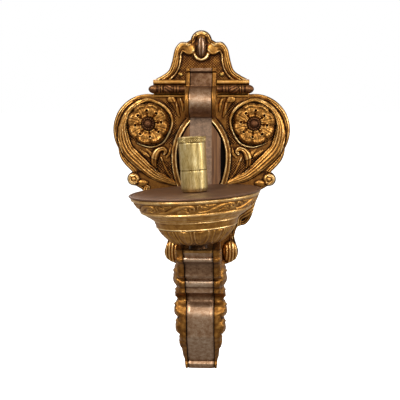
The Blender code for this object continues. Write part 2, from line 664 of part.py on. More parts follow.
def cheeks():
    """Metal side cheeks: plain on the scroll, with acanthus lobes on the console."""
    inner = UPPER_HALF + CHEEK_LINE
    low_inner = LOWER_HALF + CHEEK_LINE
    lobes = ((1.0, -72, (12, 5.4, 13)), (0.66, -110, (11, 6.2, 10)), (0.68, -127, (9, 4.4, 8)),
             (0.5, -152, (6, 1.8, 5)))
    for word, side in SIDES:
        ends = sorted((side * inner, side * (inner + UPPER_CHEEK)))
        from_side(f"upper_cheek_{word}", upper_face()[:-1] + back_of_scroll(), ends[0], ends[1], "gilt")
        ends = sorted((side * low_inner, side * (low_inner + LOWER_CHEEK)))
        side_face = [(SHELF_FRONT - 1 * MM, SHELF_Z)] + lower_face() + back_of_console(SHELF_Z)
        cheek = from_side(f"lower_cheek_{word}", side_face, ends[0], ends[1], "gilt")
        taper(cheek, low_inner + 1 * MM)
        for number, (share, height, half) in enumerate(lobes, 1):
            size = (half[1] * MM, half[0] * MM, half[2] * MM)
            reach = BELLY_OUT * share
            surface = low_inner + LOWER_CHEEK
            lobe = ball(f"leaf_{word}_{number}", (side * surface, -reach, height * MM), size, None, CUTTERS)
            boolean(cheek, lobe, "UNION")
    return None


def shelf(core):
    """The metal shelf between the cheeks, in front of the column and bored for the rod."""
    half = LOWER_HALF
    near = ROLL_OUT + GAP
    outline = [(-half, near), (-half, SHELF_FRONT - 2 * MM), (-half + 2 * MM, SHELF_FRONT),
               (half - 2 * MM, SHELF_FRONT), (half, SHELF_FRONT - 2 * MM), (half, near)]
    plate = add("shelf_plate", flat_mesh("shelf_plate", [outline], SHELF_THICK), "gilt")
    plate.matrix_world = Matrix(((1, 0, 0, 0), (0, -1, 0, 0), (0, 0, 1, SHELF_Z - SHELF_THICK / 2), (0, 0, 0, 1)))
    for piece, label in ((plate, "shelf"), (core, "core")):
        hole = turned(f"{label}_rod_bore", [(0, 10 * MM), (ROD_RADIUS + GAP, 10 * MM),
                                            (ROD_RADIUS + GAP, -ROD_GRIP - GAP), (0, -ROD_GRIP - GAP)],
                      16, None, CUTTERS)
        hole.parent = AXIS
        boolean(piece, hole, "DIFFERENCE")


def bracket_screws(core, board):
    """Two countersunk screws from behind the board into the column."""
    for word, z in zip(("top", "bottom"), BRACKET_SCREW_Z):
        profile = [(0, SCREW_LENGTH), (SCREW_RADIUS, SCREW_LENGTH - 3 * MM), (SCREW_RADIUS, 3.2 * MM),
                   (SCREW_HEAD, 0.7 * MM), (SCREW_HEAD, GAP), (0, GAP)]
        fastener(f"bracket_screw_{word}", profile, 0, z, "steel")
        bore(core, f"core_screw_bore_{word}", SCREW_RADIUS + GAP, 0, SCREW_LENGTH + GAP, 0, z)
        sink = turned(f"board_sink_{word}", [(0, BOARD_FACE + 5 * MM), (SCREW_RADIUS + GAP, BOARD_FACE + 5 * MM),
                                             (SCREW_RADIUS + GAP, 3.2 * MM + GAP), (SCREW_HEAD + GAP, 0.9 * MM),
                                             (SCREW_HEAD + GAP, -5 * MM), (0, -5 * MM)], 12, None, CUTTERS)
        sink.location = (0, 0, z)
        sink.rotation_euler = (math.radians(90), 0, 0)
        boolean(board, sink, "DIFFERENCE")


# ---------------------------------------------------------------- cup and candle socket

def up(z):
    """A height above the foot of the cup, along its axis."""
    return z - SHELF_Z


def cup_piece(name, profile, steps, finish):
    """A turned piece on the leaning axis of the cup."""
    item = turned(name, profile, steps, finish)
    item.parent = AXIS
    return item


def cup():
    """The drip cup: foot ring, gadrooned base, bowl with its frieze wall, nut and cover."""
    hole = ROD_RADIUS + GAP
    rim = COVER_RADIUS - 2.5 * MM
    waist = 0.777 * COVER_RADIUS
    floor = up(BOWL_FLOOR_Z)
    wall_top = up(COVER_Z) - GAP
    outer = [(rim, wall_top), (rim + 0.7 * MM, wall_top - 1.5 * MM), (rim, wall_top - 3.4 * MM),
             (rim - 2.2 * MM, wall_top - 4.4 * MM), (0.5 * (rim + waist) - 0.4 * MM, up(8.4 * MM)),
             (waist + 3.2 * MM, up(3.3 * MM)), (waist + 0.6 * MM, up(2 * MM)), (waist - 1.7 * MM, up(-1 * MM)),
             (BASE_TOP_RADIUS + 3 * MM, floor), (BASE_TOP_RADIUS, floor - BOWL_SHEET), (hole, floor - BOWL_SHEET)]
    inner = [(hole, floor), (BASE_TOP_RADIUS + 2 * MM, floor + 1 * MM), (waist - BOWL_SHEET - 1.5 * MM, up(2 * MM)),
             (0.5 * (rim + waist) - BOWL_SHEET - 1 * MM, up(9 * MM)), (rim - BOWL_SHEET, wall_top - 4 * MM),
             (rim - BOWL_SHEET, wall_top)]
    cup_piece("cup_bowl", outer + inner, 36, "gilt")

    top = floor - BOWL_SHEET - GAP
    mid = BASE_TOP_RADIUS - 4.2 * MM
    foot = up(BASE_FOOT_Z)
    outer = [(BASE_TOP_RADIUS, top), (BASE_TOP_RADIUS, top - 1.4 * MM), (BASE_TOP_RADIUS - 2.2 * MM, up(-12 * MM)),
             (mid, up(-13 * MM)), (0.845 * mid, up(-21 * MM)), (0.725 * mid, up(-26 * MM)),
             (0.6 * mid, up(-28 * MM)), (FOOT_RADIUS, foot), (hole, foot)]
    inner = [(hole, foot + 2 * BOWL_SHEET), (0.5 * mid, up(-25 * MM)), (0.68 * mid, up(-22 * MM)),
             (mid - 2 * BOWL_SHEET, up(-14 * MM)), (BASE_TOP_RADIUS - 2.2 * BOWL_SHEET, top)]
    cup_piece("cup_base", outer + inner, 30, "gilt")

    ring = foot - GAP
    profile = [(FOOT_RADIUS, ring), (FOOT_RADIUS, ring - 1.6 * MM), (0.8 * FOOT_RADIUS, ring - 2.6 * MM),
               (0.9 * FOOT_RADIUS, FOOT_STAND), (hole, FOOT_STAND), (hole, ring)]
    cup_piece("foot_ring", profile, 20, "bronze")

    nut = flat_mesh("bowl_nut", [arc((0, 0), 8 * MM, 360, 60, 5), arc((0, 0), hole, 360, 22.5, 15)], 5 * MM)
    item = add("bowl_nut", nut, "steel")
    item.parent = AXIS
    item.location = (0, 0, floor + GAP + 2.5 * MM)

    low = up(COVER_Z)
    high = low + COVER_THICK
    profile = [(COVER_RADIUS - 0.4 * MM, high), (COVER_RADIUS, high - 0.4 * MM), (COVER_RADIUS, low + 0.4 * MM),
               (COVER_RADIUS - 0.4 * MM, low), (hole, low), (hole, high)]
    cup_piece("cup_cover", profile, 48, "cover")


def candle_holder():
    """The rod through the cup, the spigot nut on it, and the lift-off candle socket with its collar."""
    seat = up(COVER_Z) + COVER_THICK + GAP
    spigot_top = seat + SOCKET_FLOOR - 1.2 * MM
    rod_top = spigot_top - 0.5 * MM
    profile = [(0, rod_top), (ROD_RADIUS - 0.6 * MM, rod_top), (ROD_RADIUS, rod_top - 0.6 * MM),
               (ROD_RADIUS, -ROD_GRIP + 1 * MM), (0, -ROD_GRIP)]
    cup_piece("centre_rod", profile, 16, "steel")

    grip = SOCKET_BORE - GAP
    profile = [(grip - 1 * MM, spigot_top), (grip, spigot_top - 1 * MM), (grip, seat), (ROD_RADIUS + GAP, seat),
               (ROD_RADIUS + GAP, spigot_top)]
    cup_piece("socket_spigot", profile, 24, "brass")

    top = seat + SOCKET_HEIGHT
    neck = SOCKET_RADIUS - COLLAR_SEAT
    shoulder = top - COLLAR_HEIGHT - GAP
    floor = seat + SOCKET_FLOOR
    profile = [(0, floor + FLOOR_THICK), (SOCKET_BORE, floor + FLOOR_THICK), (SOCKET_BORE, top), (neck, top),
               (neck, shoulder), (SOCKET_RADIUS, shoulder), (SOCKET_RADIUS, seat + 3 * MM),
               (SOCKET_RADIUS - 0.7 * MM, seat + 0.6 * MM), (SOCKET_BORE + 0.3 * MM, seat),
               (SOCKET_BORE, seat + 0.4 * MM), (SOCKET_BORE, floor), (0, floor)]
    cup_piece("candle_socket", profile, 28, "brass")

    profile = [(COLLAR_RADIUS - 0.4 * MM, top), (COLLAR_RADIUS, top - 0.5 * MM),
               (COLLAR_RADIUS, top - COLLAR_HEIGHT + 0.5 * MM), (COLLAR_RADIUS - 0.4 * MM, top - COLLAR_HEIGHT),
               (neck + GAP, top - COLLAR_HEIGHT), (neck + GAP, top)]
    cup_piece("knurled_collar", profile, 28, "brass")


AXIS = bpy.data.objects.new("cup_axis", None)
AXIS.location = (0, -CUP_OUT, SHELF_Z)
AXIS.rotation_euler = (0, -CUP_LEAN, 0)
SCONCE.objects.link(AXIS)

PLATE = cartouche_plate()
BOARD = back_board()
hanger(BOARD)
plate_pins(PLATE, BOARD)
crest_bead()
cornice_rolls()
rosettes(PLATE, BOARD)
CORE = bracket_core()
bands()
cheeks()
shelf(CORE)
bracket_screws(CORE, BOARD)
cup()
candle_holder()
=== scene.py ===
# %% [markdown]
# A wall sconce candle holder: a pierced and embossed brass cartouche on a wooden board, a bracket
# of scroll and console with side cheeks, and a drip cup that turns on a rod and carries a brass
# candle socket. The solids come in as a fixed frame. Each piece made here is a surface worked out
# as whole arrays, in millimetres, as (across, out from the wall, up).

# %% Load the frame
import math

import bmesh
import bpy
import numpy as np
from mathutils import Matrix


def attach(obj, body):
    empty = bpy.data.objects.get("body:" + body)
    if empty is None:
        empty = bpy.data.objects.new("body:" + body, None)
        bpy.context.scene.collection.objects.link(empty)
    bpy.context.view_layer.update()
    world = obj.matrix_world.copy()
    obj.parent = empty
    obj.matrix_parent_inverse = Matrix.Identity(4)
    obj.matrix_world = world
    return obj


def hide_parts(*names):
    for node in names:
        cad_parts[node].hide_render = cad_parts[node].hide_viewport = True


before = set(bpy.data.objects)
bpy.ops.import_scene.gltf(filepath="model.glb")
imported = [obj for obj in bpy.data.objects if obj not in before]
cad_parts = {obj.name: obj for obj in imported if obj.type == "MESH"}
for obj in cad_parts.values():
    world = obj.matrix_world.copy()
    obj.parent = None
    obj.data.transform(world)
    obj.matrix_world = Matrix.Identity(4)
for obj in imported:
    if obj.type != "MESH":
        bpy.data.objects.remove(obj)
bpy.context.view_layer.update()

# %% [markdown]
# The sconce is seen a little from above and from its right, from about 0.85 m. A long lens keeps
# the perspective mild, and everything from the cup to the wall is kept in focus.

# %% Camera
EYE = (0.030, -0.850, 0.101)
PITCH, YAW = 6.77, 2.14
view = bpy.data.objects.new("camera", bpy.data.cameras.new("camera"))
view.data.lens, view.data.sensor_width = 72.0, 36.0
view.location = EYE
view.rotation_euler = (math.radians(90 - PITCH), 0, math.radians(YAW))
bpy.context.scene.collection.objects.link(view)
bpy.context.scene.camera = view
print("camera at", EYE)

# %% [markdown]
# Polished metal shows what stands around it. The eye sees a white surround, while the metal
# reflects a dimmer room with large soft panels, which gives it dark hollows and bright ridges.

# %% Surround, lights and floor
bpy.context.scene.view_settings.view_transform = "Standard"


def linear(code):
    """A linear RGBA colour from an sRGB hex value: the usual curve with its straight foot."""
    parts = [int(code[i:i + 2], 16) / 255 for i in (1, 3, 5)]
    return (*[c / 12.92 if c <= 0.04045 else ((c + 0.055) / 1.055) ** 2.4 for c in parts], 1.0)


def add_node(tree, kind, settings=(), links=()):
    """Add a node, with its own settings or unlinked inputs, and the outputs that feed its inputs."""
    item = tree.nodes.new("ShaderNode" + kind)
    for key, value in dict(settings).items():
        if isinstance(key, str) and hasattr(item, key):
            setattr(item, key, value)
        else:
            item.inputs[key].default_value = value
    for key, source in dict(links).items():
        tree.links.new(source, item.inputs[key])
    return item


def maths(tree, kind, *values, clamp=False):
    """The result of a Math node whose inputs are numbers or other results."""
    numbers = {k: v for k, v in enumerate(values) if isinstance(v, (int, float))}
    joined = {k: v for k, v in enumerate(values) if k not in numbers}
    return add_node(tree, "Math", {"operation": kind, "use_clamp": clamp, **numbers},
                    joined).outputs[0]


def noise(tree, place, **settings):
    """The strength of a noise at a place."""
    return add_node(tree, "TexNoise", settings, {"Vector": place}).outputs["Fac"]


def remap(tree, value, *limits):
    """A value taken from one range to another: from low, from high, to low, to high."""
    return add_node(tree, "MapRange", dict(enumerate(limits, 1)), {0: value}).outputs[0]


def colour_stops(tree, level, colours):
    """A colour read from a level, by stops of place and hex value."""
    ramp = add_node(tree, "ValToRGB", links={0: level})
    stops, colours = ramp.color_ramp.elements, list(colours)
    while len(stops) < len(colours):
        stops.new(0.5)
    for i, (spot, code) in enumerate(colours):
        stops[i].position, stops[i].color = spot, linear(code)
    return ramp.outputs["Color"]


surround = bpy.data.worlds.new("surround")
bpy.context.scene.world = surround
surround.use_nodes = True
tree = surround.node_tree
tree.nodes.clear()
seen = add_node(tree, "Background", {"Color": linear("#ffffff"), "Strength": 1.0})
toward = add_node(tree, "TexCoord").outputs["Generated"]
height = add_node(tree, "SeparateXYZ", links={0: toward}).outputs["Z"]
sky = add_node(tree, "MapRange", {1: -0.9, 2: 0.7, 3: 0.42, 4: 0.6}, {0: height})
room = add_node(tree, "Background", {"Color": linear("#fbf6f0")}, {"Strength": sky.outputs[0]})
ray = add_node(tree, "LightPath")
both = add_node(tree, "MixShader",
                links={0: ray.outputs["Is Camera Ray"], 1: room.outputs[0], 2: seen.outputs[0]})
add_node(tree, "OutputWorld", links={"Surface": both.outputs[0]})


def panel(name, place, aim, size, power):
    """A soft square light at a place, turned to face a point."""
    lamp = bpy.data.objects.new(name, bpy.data.lights.new(name, "AREA"))
    lamp.data.size, lamp.data.energy = size, power
    lamp.location = place
    away = np.subtract(place, aim)
    flat = math.hypot(away[0], away[1])
    lamp.rotation_euler = (math.atan2(flat, away[2]), 0, math.atan2(away[1], away[0]) + math.pi / 2)
    bpy.context.scene.collection.objects.link(lamp)
    return lamp


panel("key_panel", (-0.75, -0.95, 0.85), (0, -0.05, 0), 0.5, 15)
panel("front_panel", (0.5, -1.45, 0.6), (0, -0.05, 0), 0.6, 11)
panel("side_panel", (1.1, -0.3, 0.35), (0, -0.05, 0), 0.5, 6)
panel("back_panel", (-0.3, 1.2, 0.9), (0, 0, 0), 0.8, 10)

FLOOR_Z, FLOOR_HALF = -0.235, 30
mesh = bpy.data.meshes.new("floor")
corners = [(x * FLOOR_HALF, y * FLOOR_HALF, FLOOR_Z) for x, y in ((-1, -1), (1, -1), (1, 1), (-1, 1))]
mesh.from_pydata(corners, [], [(0, 1, 2, 3)])
floor = bpy.data.objects.new("floor", mesh)
bpy.context.scene.collection.objects.link(floor)
paper = bpy.data.materials.new("white_paper_sweep")
paper.use_nodes = True
shader = paper.node_tree.nodes["Principled BSDF"]
shader.inputs["Base Color"].default_value = linear("#f7f7f6")
shader.inputs["Roughness"].default_value = 0.9
shader.inputs["Emission Color"].default_value = linear("#ffffff")
shader.inputs["Emission Strength"].default_value = 0.85
mesh.materials.append(paper)
floor.visible_glossy = floor.visible_diffuse = False
print("lights and floor set")

# %% [markdown]
# Nearly every finish here is metal that was toned dark and then rubbed, so that the dark stays in
# the hollows and the ridges shine. Each surface carries a number, "tone", which is high on ridges
# and low in hollows, and the colour, roughness and sheen follow it. In places the tone also holds
# painted highlight and painted shade, noted where it is set. Fine noise breaks it up.

# %% Rubbed metal
def rubbed_metal(name, colours, metallic, rough, patch_mm, mark=0.25, grain_mm=0.7, dent=0.12, ground_mm=0.0,
                 streak=(1, 1, 1), tone=None):
    """Toned and rubbed metal: colours run from hollow to ridge, patches of the given size vary them,
    and grain gives a fine pitted surface. A ground is a chased cross-hatch of the given pitch. A
    fixed tone serves pieces that carry none of their own."""
    skin = bpy.data.materials.new(name)
    skin.use_nodes = True
    tree = skin.node_tree
    shader = tree.nodes["Principled BSDF"]
    shader.inputs["Metallic"].default_value = metallic
    place = add_node(tree, "TexCoord").outputs["Object"]
    drawn = add_node(tree, "Mapping", {"Scale": streak}, {"Vector": place}).outputs[0]
    patch = noise(tree, drawn, Scale=1000 / patch_mm, Detail=6.0, Roughness=0.62)
    grain = noise(tree, drawn, Scale=1000 / grain_mm, Detail=3.0, Roughness=0.6)
    uneven = maths(tree, "ADD", remap(tree, patch, 0.25, 0.75, -mark, mark),
                   remap(tree, grain, 0.3, 0.7, -0.45 * mark, 0.45 * mark))
    if tone is None:
        tone = add_node(tree, "Attribute", {"attribute_name": "tone"}).outputs["Fac"]
    level = maths(tree, "ADD", tone, uneven, clamp=True)
    if ground_mm:
        mask = add_node(tree, "Attribute", {"attribute_name": "ground"}).outputs["Fac"]
        lines = []
        for turn in (45, -45):
            slope = add_node(tree, "Mapping", {"Rotation": (0, math.radians(turn), 0)},
                             {"Vector": place})
            wave = add_node(tree, "TexWave", {"Scale": 314 / ground_mm, "bands_direction": "X"},
                            {"Vector": slope.outputs[0]})
            lines.append(wave.outputs["Fac"])
        held = maths(tree, "MULTIPLY", maths(tree, "SUBTRACT", maths(tree, "MULTIPLY", *lines), 0.3), mask)
        level = maths(tree, "MULTIPLY_ADD", held, 0.55, level, clamp=True)
    tree.links.new(colour_stops(tree, level, colours), shader.inputs["Base Color"])
    tree.links.new(remap(tree, level, 0.0, 1.0, *rough), shader.inputs["Roughness"])
    height = grain
    if ground_mm:
        height = maths(tree, "MULTIPLY_ADD", held, 5.0, height)
    bump = add_node(tree, "Bump", {"Strength": 0.5, "Distance": dent * 0.001}, {"Height": height})
    tree.links.new(bump.outputs[0], shader.inputs["Normal"])
    return skin


GILT = rubbed_metal(
    "antiqued_gilt_brass",  # stamped brass, gold lacquered and toned: brown hollows, honey ridges
    ((0.0, "#170a03"), (0.22, "#45250d"), (0.46, "#895b27"), (0.68, "#bc8843"), (1.0, "#f4d395")),
    0.95, (0.5, 0.33), 6, mark=0.17, ground_mm=1.9)
BRONZE = rubbed_metal(
    "mauve_brown_bronze",  # oxidised sheet bronze, rubbed to a soft sheen with small pits
    ((0.0, "#1f120b"), (0.3, "#5f4029"), (0.55, "#9a785b"), (1.0, "#e0cab0")), 0.95, (0.44, 0.33), 4,
    mark=0.17, grain_mm=0.9, dent=0.14)
COVER = rubbed_metal(
    "copper_brown_cover",  # a browned copper disc, dull and even
    ((0.0, "#2e1b10"), (0.4, "#5b3f2b"), (0.7, "#7a573e"), (1.0, "#a98262")), 0.6, (0.6, 0.45), 16,
    mark=0.13, grain_mm=0.8, dent=0.05)
BRASS = rubbed_metal(
    "scratched_yellow_brass",  # bare drawn tube, yellow, dulled in patches and scratched lengthwise
    ((0.0, "#2c2110"), (0.32, "#8b713f"), (0.6, "#c4aa6d"), (1.0, "#f4e4b2")), 1.0, (0.5, 0.3), 4,
    mark=0.34, grain_mm=0.6, dent=0.1, streak=(1, 1, 0.2))
DARK = rubbed_metal(
    "dark_bronze",  # cast bronze left brown, only its highest points rubbed
    ((0.0, "#1c0f08"), (0.4, "#5a3720"), (0.7, "#8c6036"), (1.0, "#dcb071")), 0.88, (0.5, 0.3), 5,
    mark=0.2, grain_mm=0.6, dent=0.1)
STEEL = rubbed_metal(
    "dull_zinced_steel",  # plated steel hardware, grey with a faint blue cast
    ((0.0, "#55585a"), (0.5, "#8c9092"), (1.0, "#b9bcbe")), 1.0, (0.5, 0.36), 4,
    mark=0.2, dent=0.04, tone=0.5)
FITTING = rubbed_metal(
    "plain_brass_fitting",  # turned brass nuts and pins, evenly yellow-brown
    ((0.0, "#5b4420"), (0.5, "#a5813f"), (1.0, "#dcbf7c")), 1.0, (0.48, 0.32), 4,
    mark=0.2, dent=0.05, tone=0.5)
RING = rubbed_metal(
    "foot_ring_dark_as_shade",  # a cast ring with a worn edge, kept dark as painted shade for the gap above the shelf
    ((0.0, "#120a05"), (0.5, "#4a2f18"), (1.0, "#a97b45")), 0.9, (0.5, 0.38), 4, dent=0.05, tone=0.38)
SHELF = rubbed_metal(
    "shelf_brass_dark_as_shade",  # sheet brass under the cup, toned dark as painted shade from the cup, warm and low in shine
    ((0.0, "#2c1808"), (0.5, "#7f5a2c"), (1.0, "#c79c5c")), 0.9, (0.5, 0.34), 6, dent=0.08, tone=0.5)
print("metals", [m.name for m in (GILT, BRONZE, COVER, BRASS, DARK, STEEL, FITTING, RING, SHELF)])

# %% [markdown]
# The board and the bracket are hardwood, sawn with the grain upright and stained brown. The front
# of the column was rubbed with bronze paint, so its front face is mauve-brown and its sides are
# brown wood. The board's face is near black as painted shade, so that the piercing in the sheet
# looks deep.

# %% Stained wood
def stained_wood(name, front_mm, paint_or_shade, dull_to, shine):
    """Upright grain: noise stretched along Z, with fine pores. In front of the given distance from
    the wall, a front colour between two stops covers the wood: bronze-brown on the column, and
    near black on the board as painted shade."""
    skin = bpy.data.materials.new(name)
    skin.use_nodes = True
    tree = skin.node_tree
    shader = tree.nodes["Principled BSDF"]
    place = add_node(tree, "TexCoord").outputs["Object"]
    along = add_node(tree, "Mapping", {"Scale": (1, 1, 0.06)}, {"Vector": place}).outputs[0]
    shader.inputs["Specular IOR Level"].default_value = shine
    grain = noise(tree, along, Scale=260.0, Detail=5.0, Distortion=0.6)
    pores = noise(tree, along, Scale=1500.0, Detail=2.0)
    colour = colour_stops(tree, grain, ((0.3, "#3f2412"), (0.5, "#6b4526"), (0.72, "#8f6841")))
    depth = add_node(tree, "SeparateXYZ", links={0: place}).outputs["Y"]
    painted = remap(tree, depth, -(front_mm - 0.2) * 0.001, -front_mm * 0.001)
    cloudy = noise(tree, place, Scale=300.0, Detail=6.0, Roughness=0.7)
    shade = colour_stops(tree, cloudy, zip((0.3, 0.7), paint_or_shade))
    mix = add_node(tree, "Mix", {"data_type": "RGBA"}, {0: painted})
    tree.links.new(colour, mix.inputs[6])
    tree.links.new(shade, mix.inputs[7])
    tree.links.new(mix.outputs[2], shader.inputs["Base Color"])
    tree.links.new(remap(tree, grain, 0.0, 1.0, dull_to - 0.17, dull_to), shader.inputs["Roughness"])
    bump = add_node(tree, "Bump", {"Strength": 0.6, "Distance": 0.00015}, {"Height": pores})
    tree.links.new(bump.outputs[0], shader.inputs["Normal"])
    return skin


# The board's front face is near black: painted shade seen through the piercing.
BOARD_WOOD = stained_wood("stained_hardwood_board", 9.4, ("#060403", "#100a06"), 0.95, 0.12)
COLUMN_WOOD = stained_wood("bronze_fronted_hardwood", 29.5, ("#433020", "#96765a"), 0.62, 0.5)
print("woods made")

# %% [markdown]
# Every new piece below is a grid of points. One function turns a grid into a closed mesh, welds
# its seams and poles, turns its faces outward, and stores how much each point stands above its
# surroundings.

# %% Grid to mesh
def smoothed(field, reach, wrap, axes=(0, 1)):
    """A field averaged over its neighbours along each axis, with columns taken round when they wrap."""
    for axis in axes:
        pad = [(0, 0), (0, 0)]
        pad[axis] = (reach, reach)
        wide = np.pad(field, pad, mode="wrap" if axis and wrap else "edge")
        total = np.cumsum(wide, axis=axis)
        first = np.take(total, range(2 * reach, wide.shape[axis]), axis=axis)
        start = np.take(total, range(0, wide.shape[axis] - 2 * reach), axis=axis)
        here = np.take(wide, range(0, wide.shape[axis] - 2 * reach), axis=axis)
        field = (first - start + here) / (2 * reach + 1)
    return field


def rub(height, base=0.5, gain=0.5, reach=4, wrap=True):
    """Tone from relief: the height above its smoothed self, as hands and cloth would rub it."""
    return np.clip(base + gain * (height - smoothed(height, reach, wrap)), 0.02, 1.0)


def piece(name, points, skin, tone=0.5, ground=None, wrap=(False, True), sharp=40):
    """A mesh object from a grid of points (rows, columns, xyz) in millimetres."""
    rows, cols = points.shape[:2]
    spots = np.stack([points[..., 0], -points[..., 1], points[..., 2]], -1).reshape(-1, 3) * 0.001
    down = np.arange(rows if wrap[0] else rows - 1)
    over = np.arange(cols if wrap[1] else cols - 1)
    i, j = np.meshgrid(down, over, indexing="ij")
    i2, j2 = (i + 1) % rows, (j + 1) % cols
    faces = np.stack([i * cols + j, i * cols + j2, i2 * cols + j2, i2 * cols + j], -1).reshape(-1, 4)
    mesh = bpy.data.meshes.new(name)
    mesh.from_pydata(spots.tolist(), [], faces.tolist())
    for label, values in (("tone", tone), ("ground", ground)):
        if values is not None:
            layer = mesh.attributes.new(label, "FLOAT", "POINT")
            layer.data.foreach_set("value", np.broadcast_to(values, (rows, cols)).astype(np.float32).ravel())
    work = bmesh.new()
    work.from_mesh(mesh)
    bmesh.ops.remove_doubles(work, verts=work.verts, dist=2e-6)
    bmesh.ops.dissolve_degenerate(work, edges=work.edges, dist=1e-6)
    bmesh.ops.recalc_face_normals(work, faces=work.faces)
    work.to_mesh(mesh)
    work.free()
    mesh.polygons.foreach_set("use_smooth", np.ones(len(mesh.polygons), bool))
    mesh.set_sharp_from_angle(angle=math.radians(sharp))
    mesh.materials.append(skin)
    item = bpy.data.objects.new(name, mesh)
    bpy.context.scene.collection.objects.link(item)
    used = np.empty(len(mesh.loops), np.int32)
    mesh.loops.foreach_get("edge_index", used)
    unpaired = int((np.bincount(used, minlength=len(mesh.edges)) != 2).sum())
    print(f"{name}: {len(mesh.polygons)} faces, edges without two faces {unpaired}")
    return item


def give(item, body, slot, *nodes):
    """Let a piece move with a body and stand for the nodes it replaces. The slot is not used."""
    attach(item, body)
    if nodes:
        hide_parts(*nodes)
    return item


# %% [markdown]
# Outlines and mouldings are drawn as paths. A path is a list of corners, a run of arcs, or a
# smooth curve through a few points, and all of them are spaced evenly before use.

# %% Paths and distances
SIDES = (("left", -1), ("right", 1))


def run_of(path):
    """How far along a path each of its points lies."""
    return np.concatenate([[0], np.cumsum(np.hypot(*np.diff(path, axis=0).T))])


def around(count):
    """Angles once round a circle, as a row."""
    return np.linspace(0, math.tau, count, endpoint=False)[None]


def even(path, count):
    """Points spaced evenly along a path, by its run."""
    path = np.asarray(path, float)
    run = run_of(path)
    at = np.linspace(0, run[-1], count)
    return np.stack([np.interp(at, run, path[:, k]) for k in (0, 1)], 1)


def curve(points, count=60):
    """A smooth curve through points: each span is a cubic of its ends and the points beyond them."""
    points = np.asarray(points, float)
    wide = np.vstack([2 * points[0] - points[1], points, 2 * points[-1] - points[-2]])
    spans = len(points) - 1
    a, b, c, d = (wide[k:k + spans, None] for k in range(4))
    t = np.linspace(0, 1, 12, endpoint=False)[None, :, None]
    cubic = 0.5 * (2 * b + (c - a) * t + (2 * a - 5 * b + 4 * c - d) * t ** 2 + (3 * b - a - 3 * c
                                                                                 + d) * t ** 3)
    return even(np.vstack([cubic.reshape(-1, 2), points[-1:]]), count)


def arc(centre, radius, start, end, count=24):
    """Points on a circle from one angle to another, in degrees."""
    turn = np.radians(np.linspace(start, end, count))
    return np.stack([centre[0] + radius * np.cos(turn), centre[1] + radius * np.sin(turn)], 1)


def measure(path, x, z):
    """For each place: distance to the nearest point of a path, the side it lies on, and the share of
    the run reached there. The nearest point of each straight span is found by projection."""
    path = np.asarray(path, float)
    step = np.diff(path, axis=0)
    length = np.hypot(*step.T)
    run = np.concatenate([[0], np.cumsum(length)])
    best, side, share = np.full(x.shape, 1e9), np.ones(x.shape), np.zeros(x.shape)
    for (ax, az), (sx, sz), size, start in zip(path, step, length, run):
        if size < 1e-9:
            continue
        t = np.clip(((x - ax) * sx + (z - az) * sz) / size ** 2, 0, 1)
        dx, dz = x - ax - t * sx, z - az - t * sz
        far = np.hypot(dx, dz)
        near = far < best
        best = np.where(near, far, best)
        side = np.where(near, np.sign(sx * dz - sz * dx), side)
        share = np.where(near, start + t * size, share)
    return best, side, share / run[-1]


def step_up(value, low, high):
    """0 below low, 1 above high, with an S between."""
    t = np.clip((value - low) / (high - low), 0, 1)
    return t * t * (3 - 2 * t)


def bead(offset, half):
    """A half-round of height 1 across a moulding, from its distance to the middle."""
    return np.sqrt(np.clip(1 - (offset / half) ** 2, 0, 1))


def leaf(path, halves, x, z, crown=1.0, crease=0.0):
    """A raised leaf or moulding on a path whose half width follows a list of values. It is rounded
    across, lower where it is narrow, and creased along the middle."""
    far, side, share = measure(path, x, z)
    half = np.interp(share, np.linspace(0, 1, len(halves)), halves)
    body = bead(far, half) * np.minimum(half / max(halves), 1) ** 0.5
    return crown * (body - crease * np.exp(-(far / (0.22 * half)) ** 2) * (far < half))


# %% [markdown]
# The cartouche is one sheet of brass, stamped from behind and pierced in the middle. Its outline
# has a crest, a cornice, two heart-shaped lobes, side knobs and scrolled feet. Every ray from the
# middle of the opening meets that outline once, so the sheet is a grid of rays and rings.

# %% Cartouche outlines
MIDDLE_Z = 47.0
crest_z, heart, ring_r, knob, waist = 166.7, (55.0, 75.0), 37.6, (71.2, 23.6), (35.3, -36.9)
ear = np.array([
    (15, -0.9), (21.9, -1.2), (27.1, -7.3), (29.1, -14.4), (30.7, -21.5), (34.0, -30.2), (41.6, -35.8)])
lobe = np.array([
    (27.2, 49), (22.2, 36.7), (20.2, 29.9), (17.1, 19.5), (11.2, 12.3), (3, 9.8), (0, 0), (1, -7.2),
    (4.1, -16.7), (1, -24.8), (-7.3, -30)])
OUTLINE = np.vstack([
    arc((0, crest_z), 11, 90, 8, 12), curve(ear + (0, crest_z)), [(49.9, 126.8), (49.9, 118.3)],
    arc(heart, ring_r, 98, -30, 60),
    curve([(87.5, 56.0), (86.6, 49.6), (84.0, 43.4), (79.8, 37.8)], 24),
    arc(knob, 7.2, 78, -100), curve(lobe + waist), [(21, -69), (0, -70)]])


def opening_side(count=80):
    """Two arcs a side that meet in a point at 92 and -10 and are widest, 25.5, at 47."""
    sides = []
    for tip, flip in ((92.0, 1), (-10.0, -1)):
        reach = tip - MIDDLE_Z
        shift = (reach ** 2 - 25.5 ** 2) / (2 * 25.5)
        sweep = math.degrees(math.asin(reach / (25.5 + shift)))
        part = arc((-shift, MIDDLE_Z), 25.5 + shift, sweep, 0, count // 2)
        sides.append(part if flip > 0 else part[::-1])
    return np.vstack(sides)


OPENING = opening_side()


def ray_reach(path, angle):
    """How far each ray from the middle goes before it meets a path, with angles from straight up."""
    fine = even(path, 4000)
    turn = np.maximum.accumulate(np.arctan2(fine[:, 0], fine[:, 1] - MIDDLE_Z))
    return np.interp(angle, turn, np.hypot(fine[:, 0], fine[:, 1] - MIDDLE_Z))


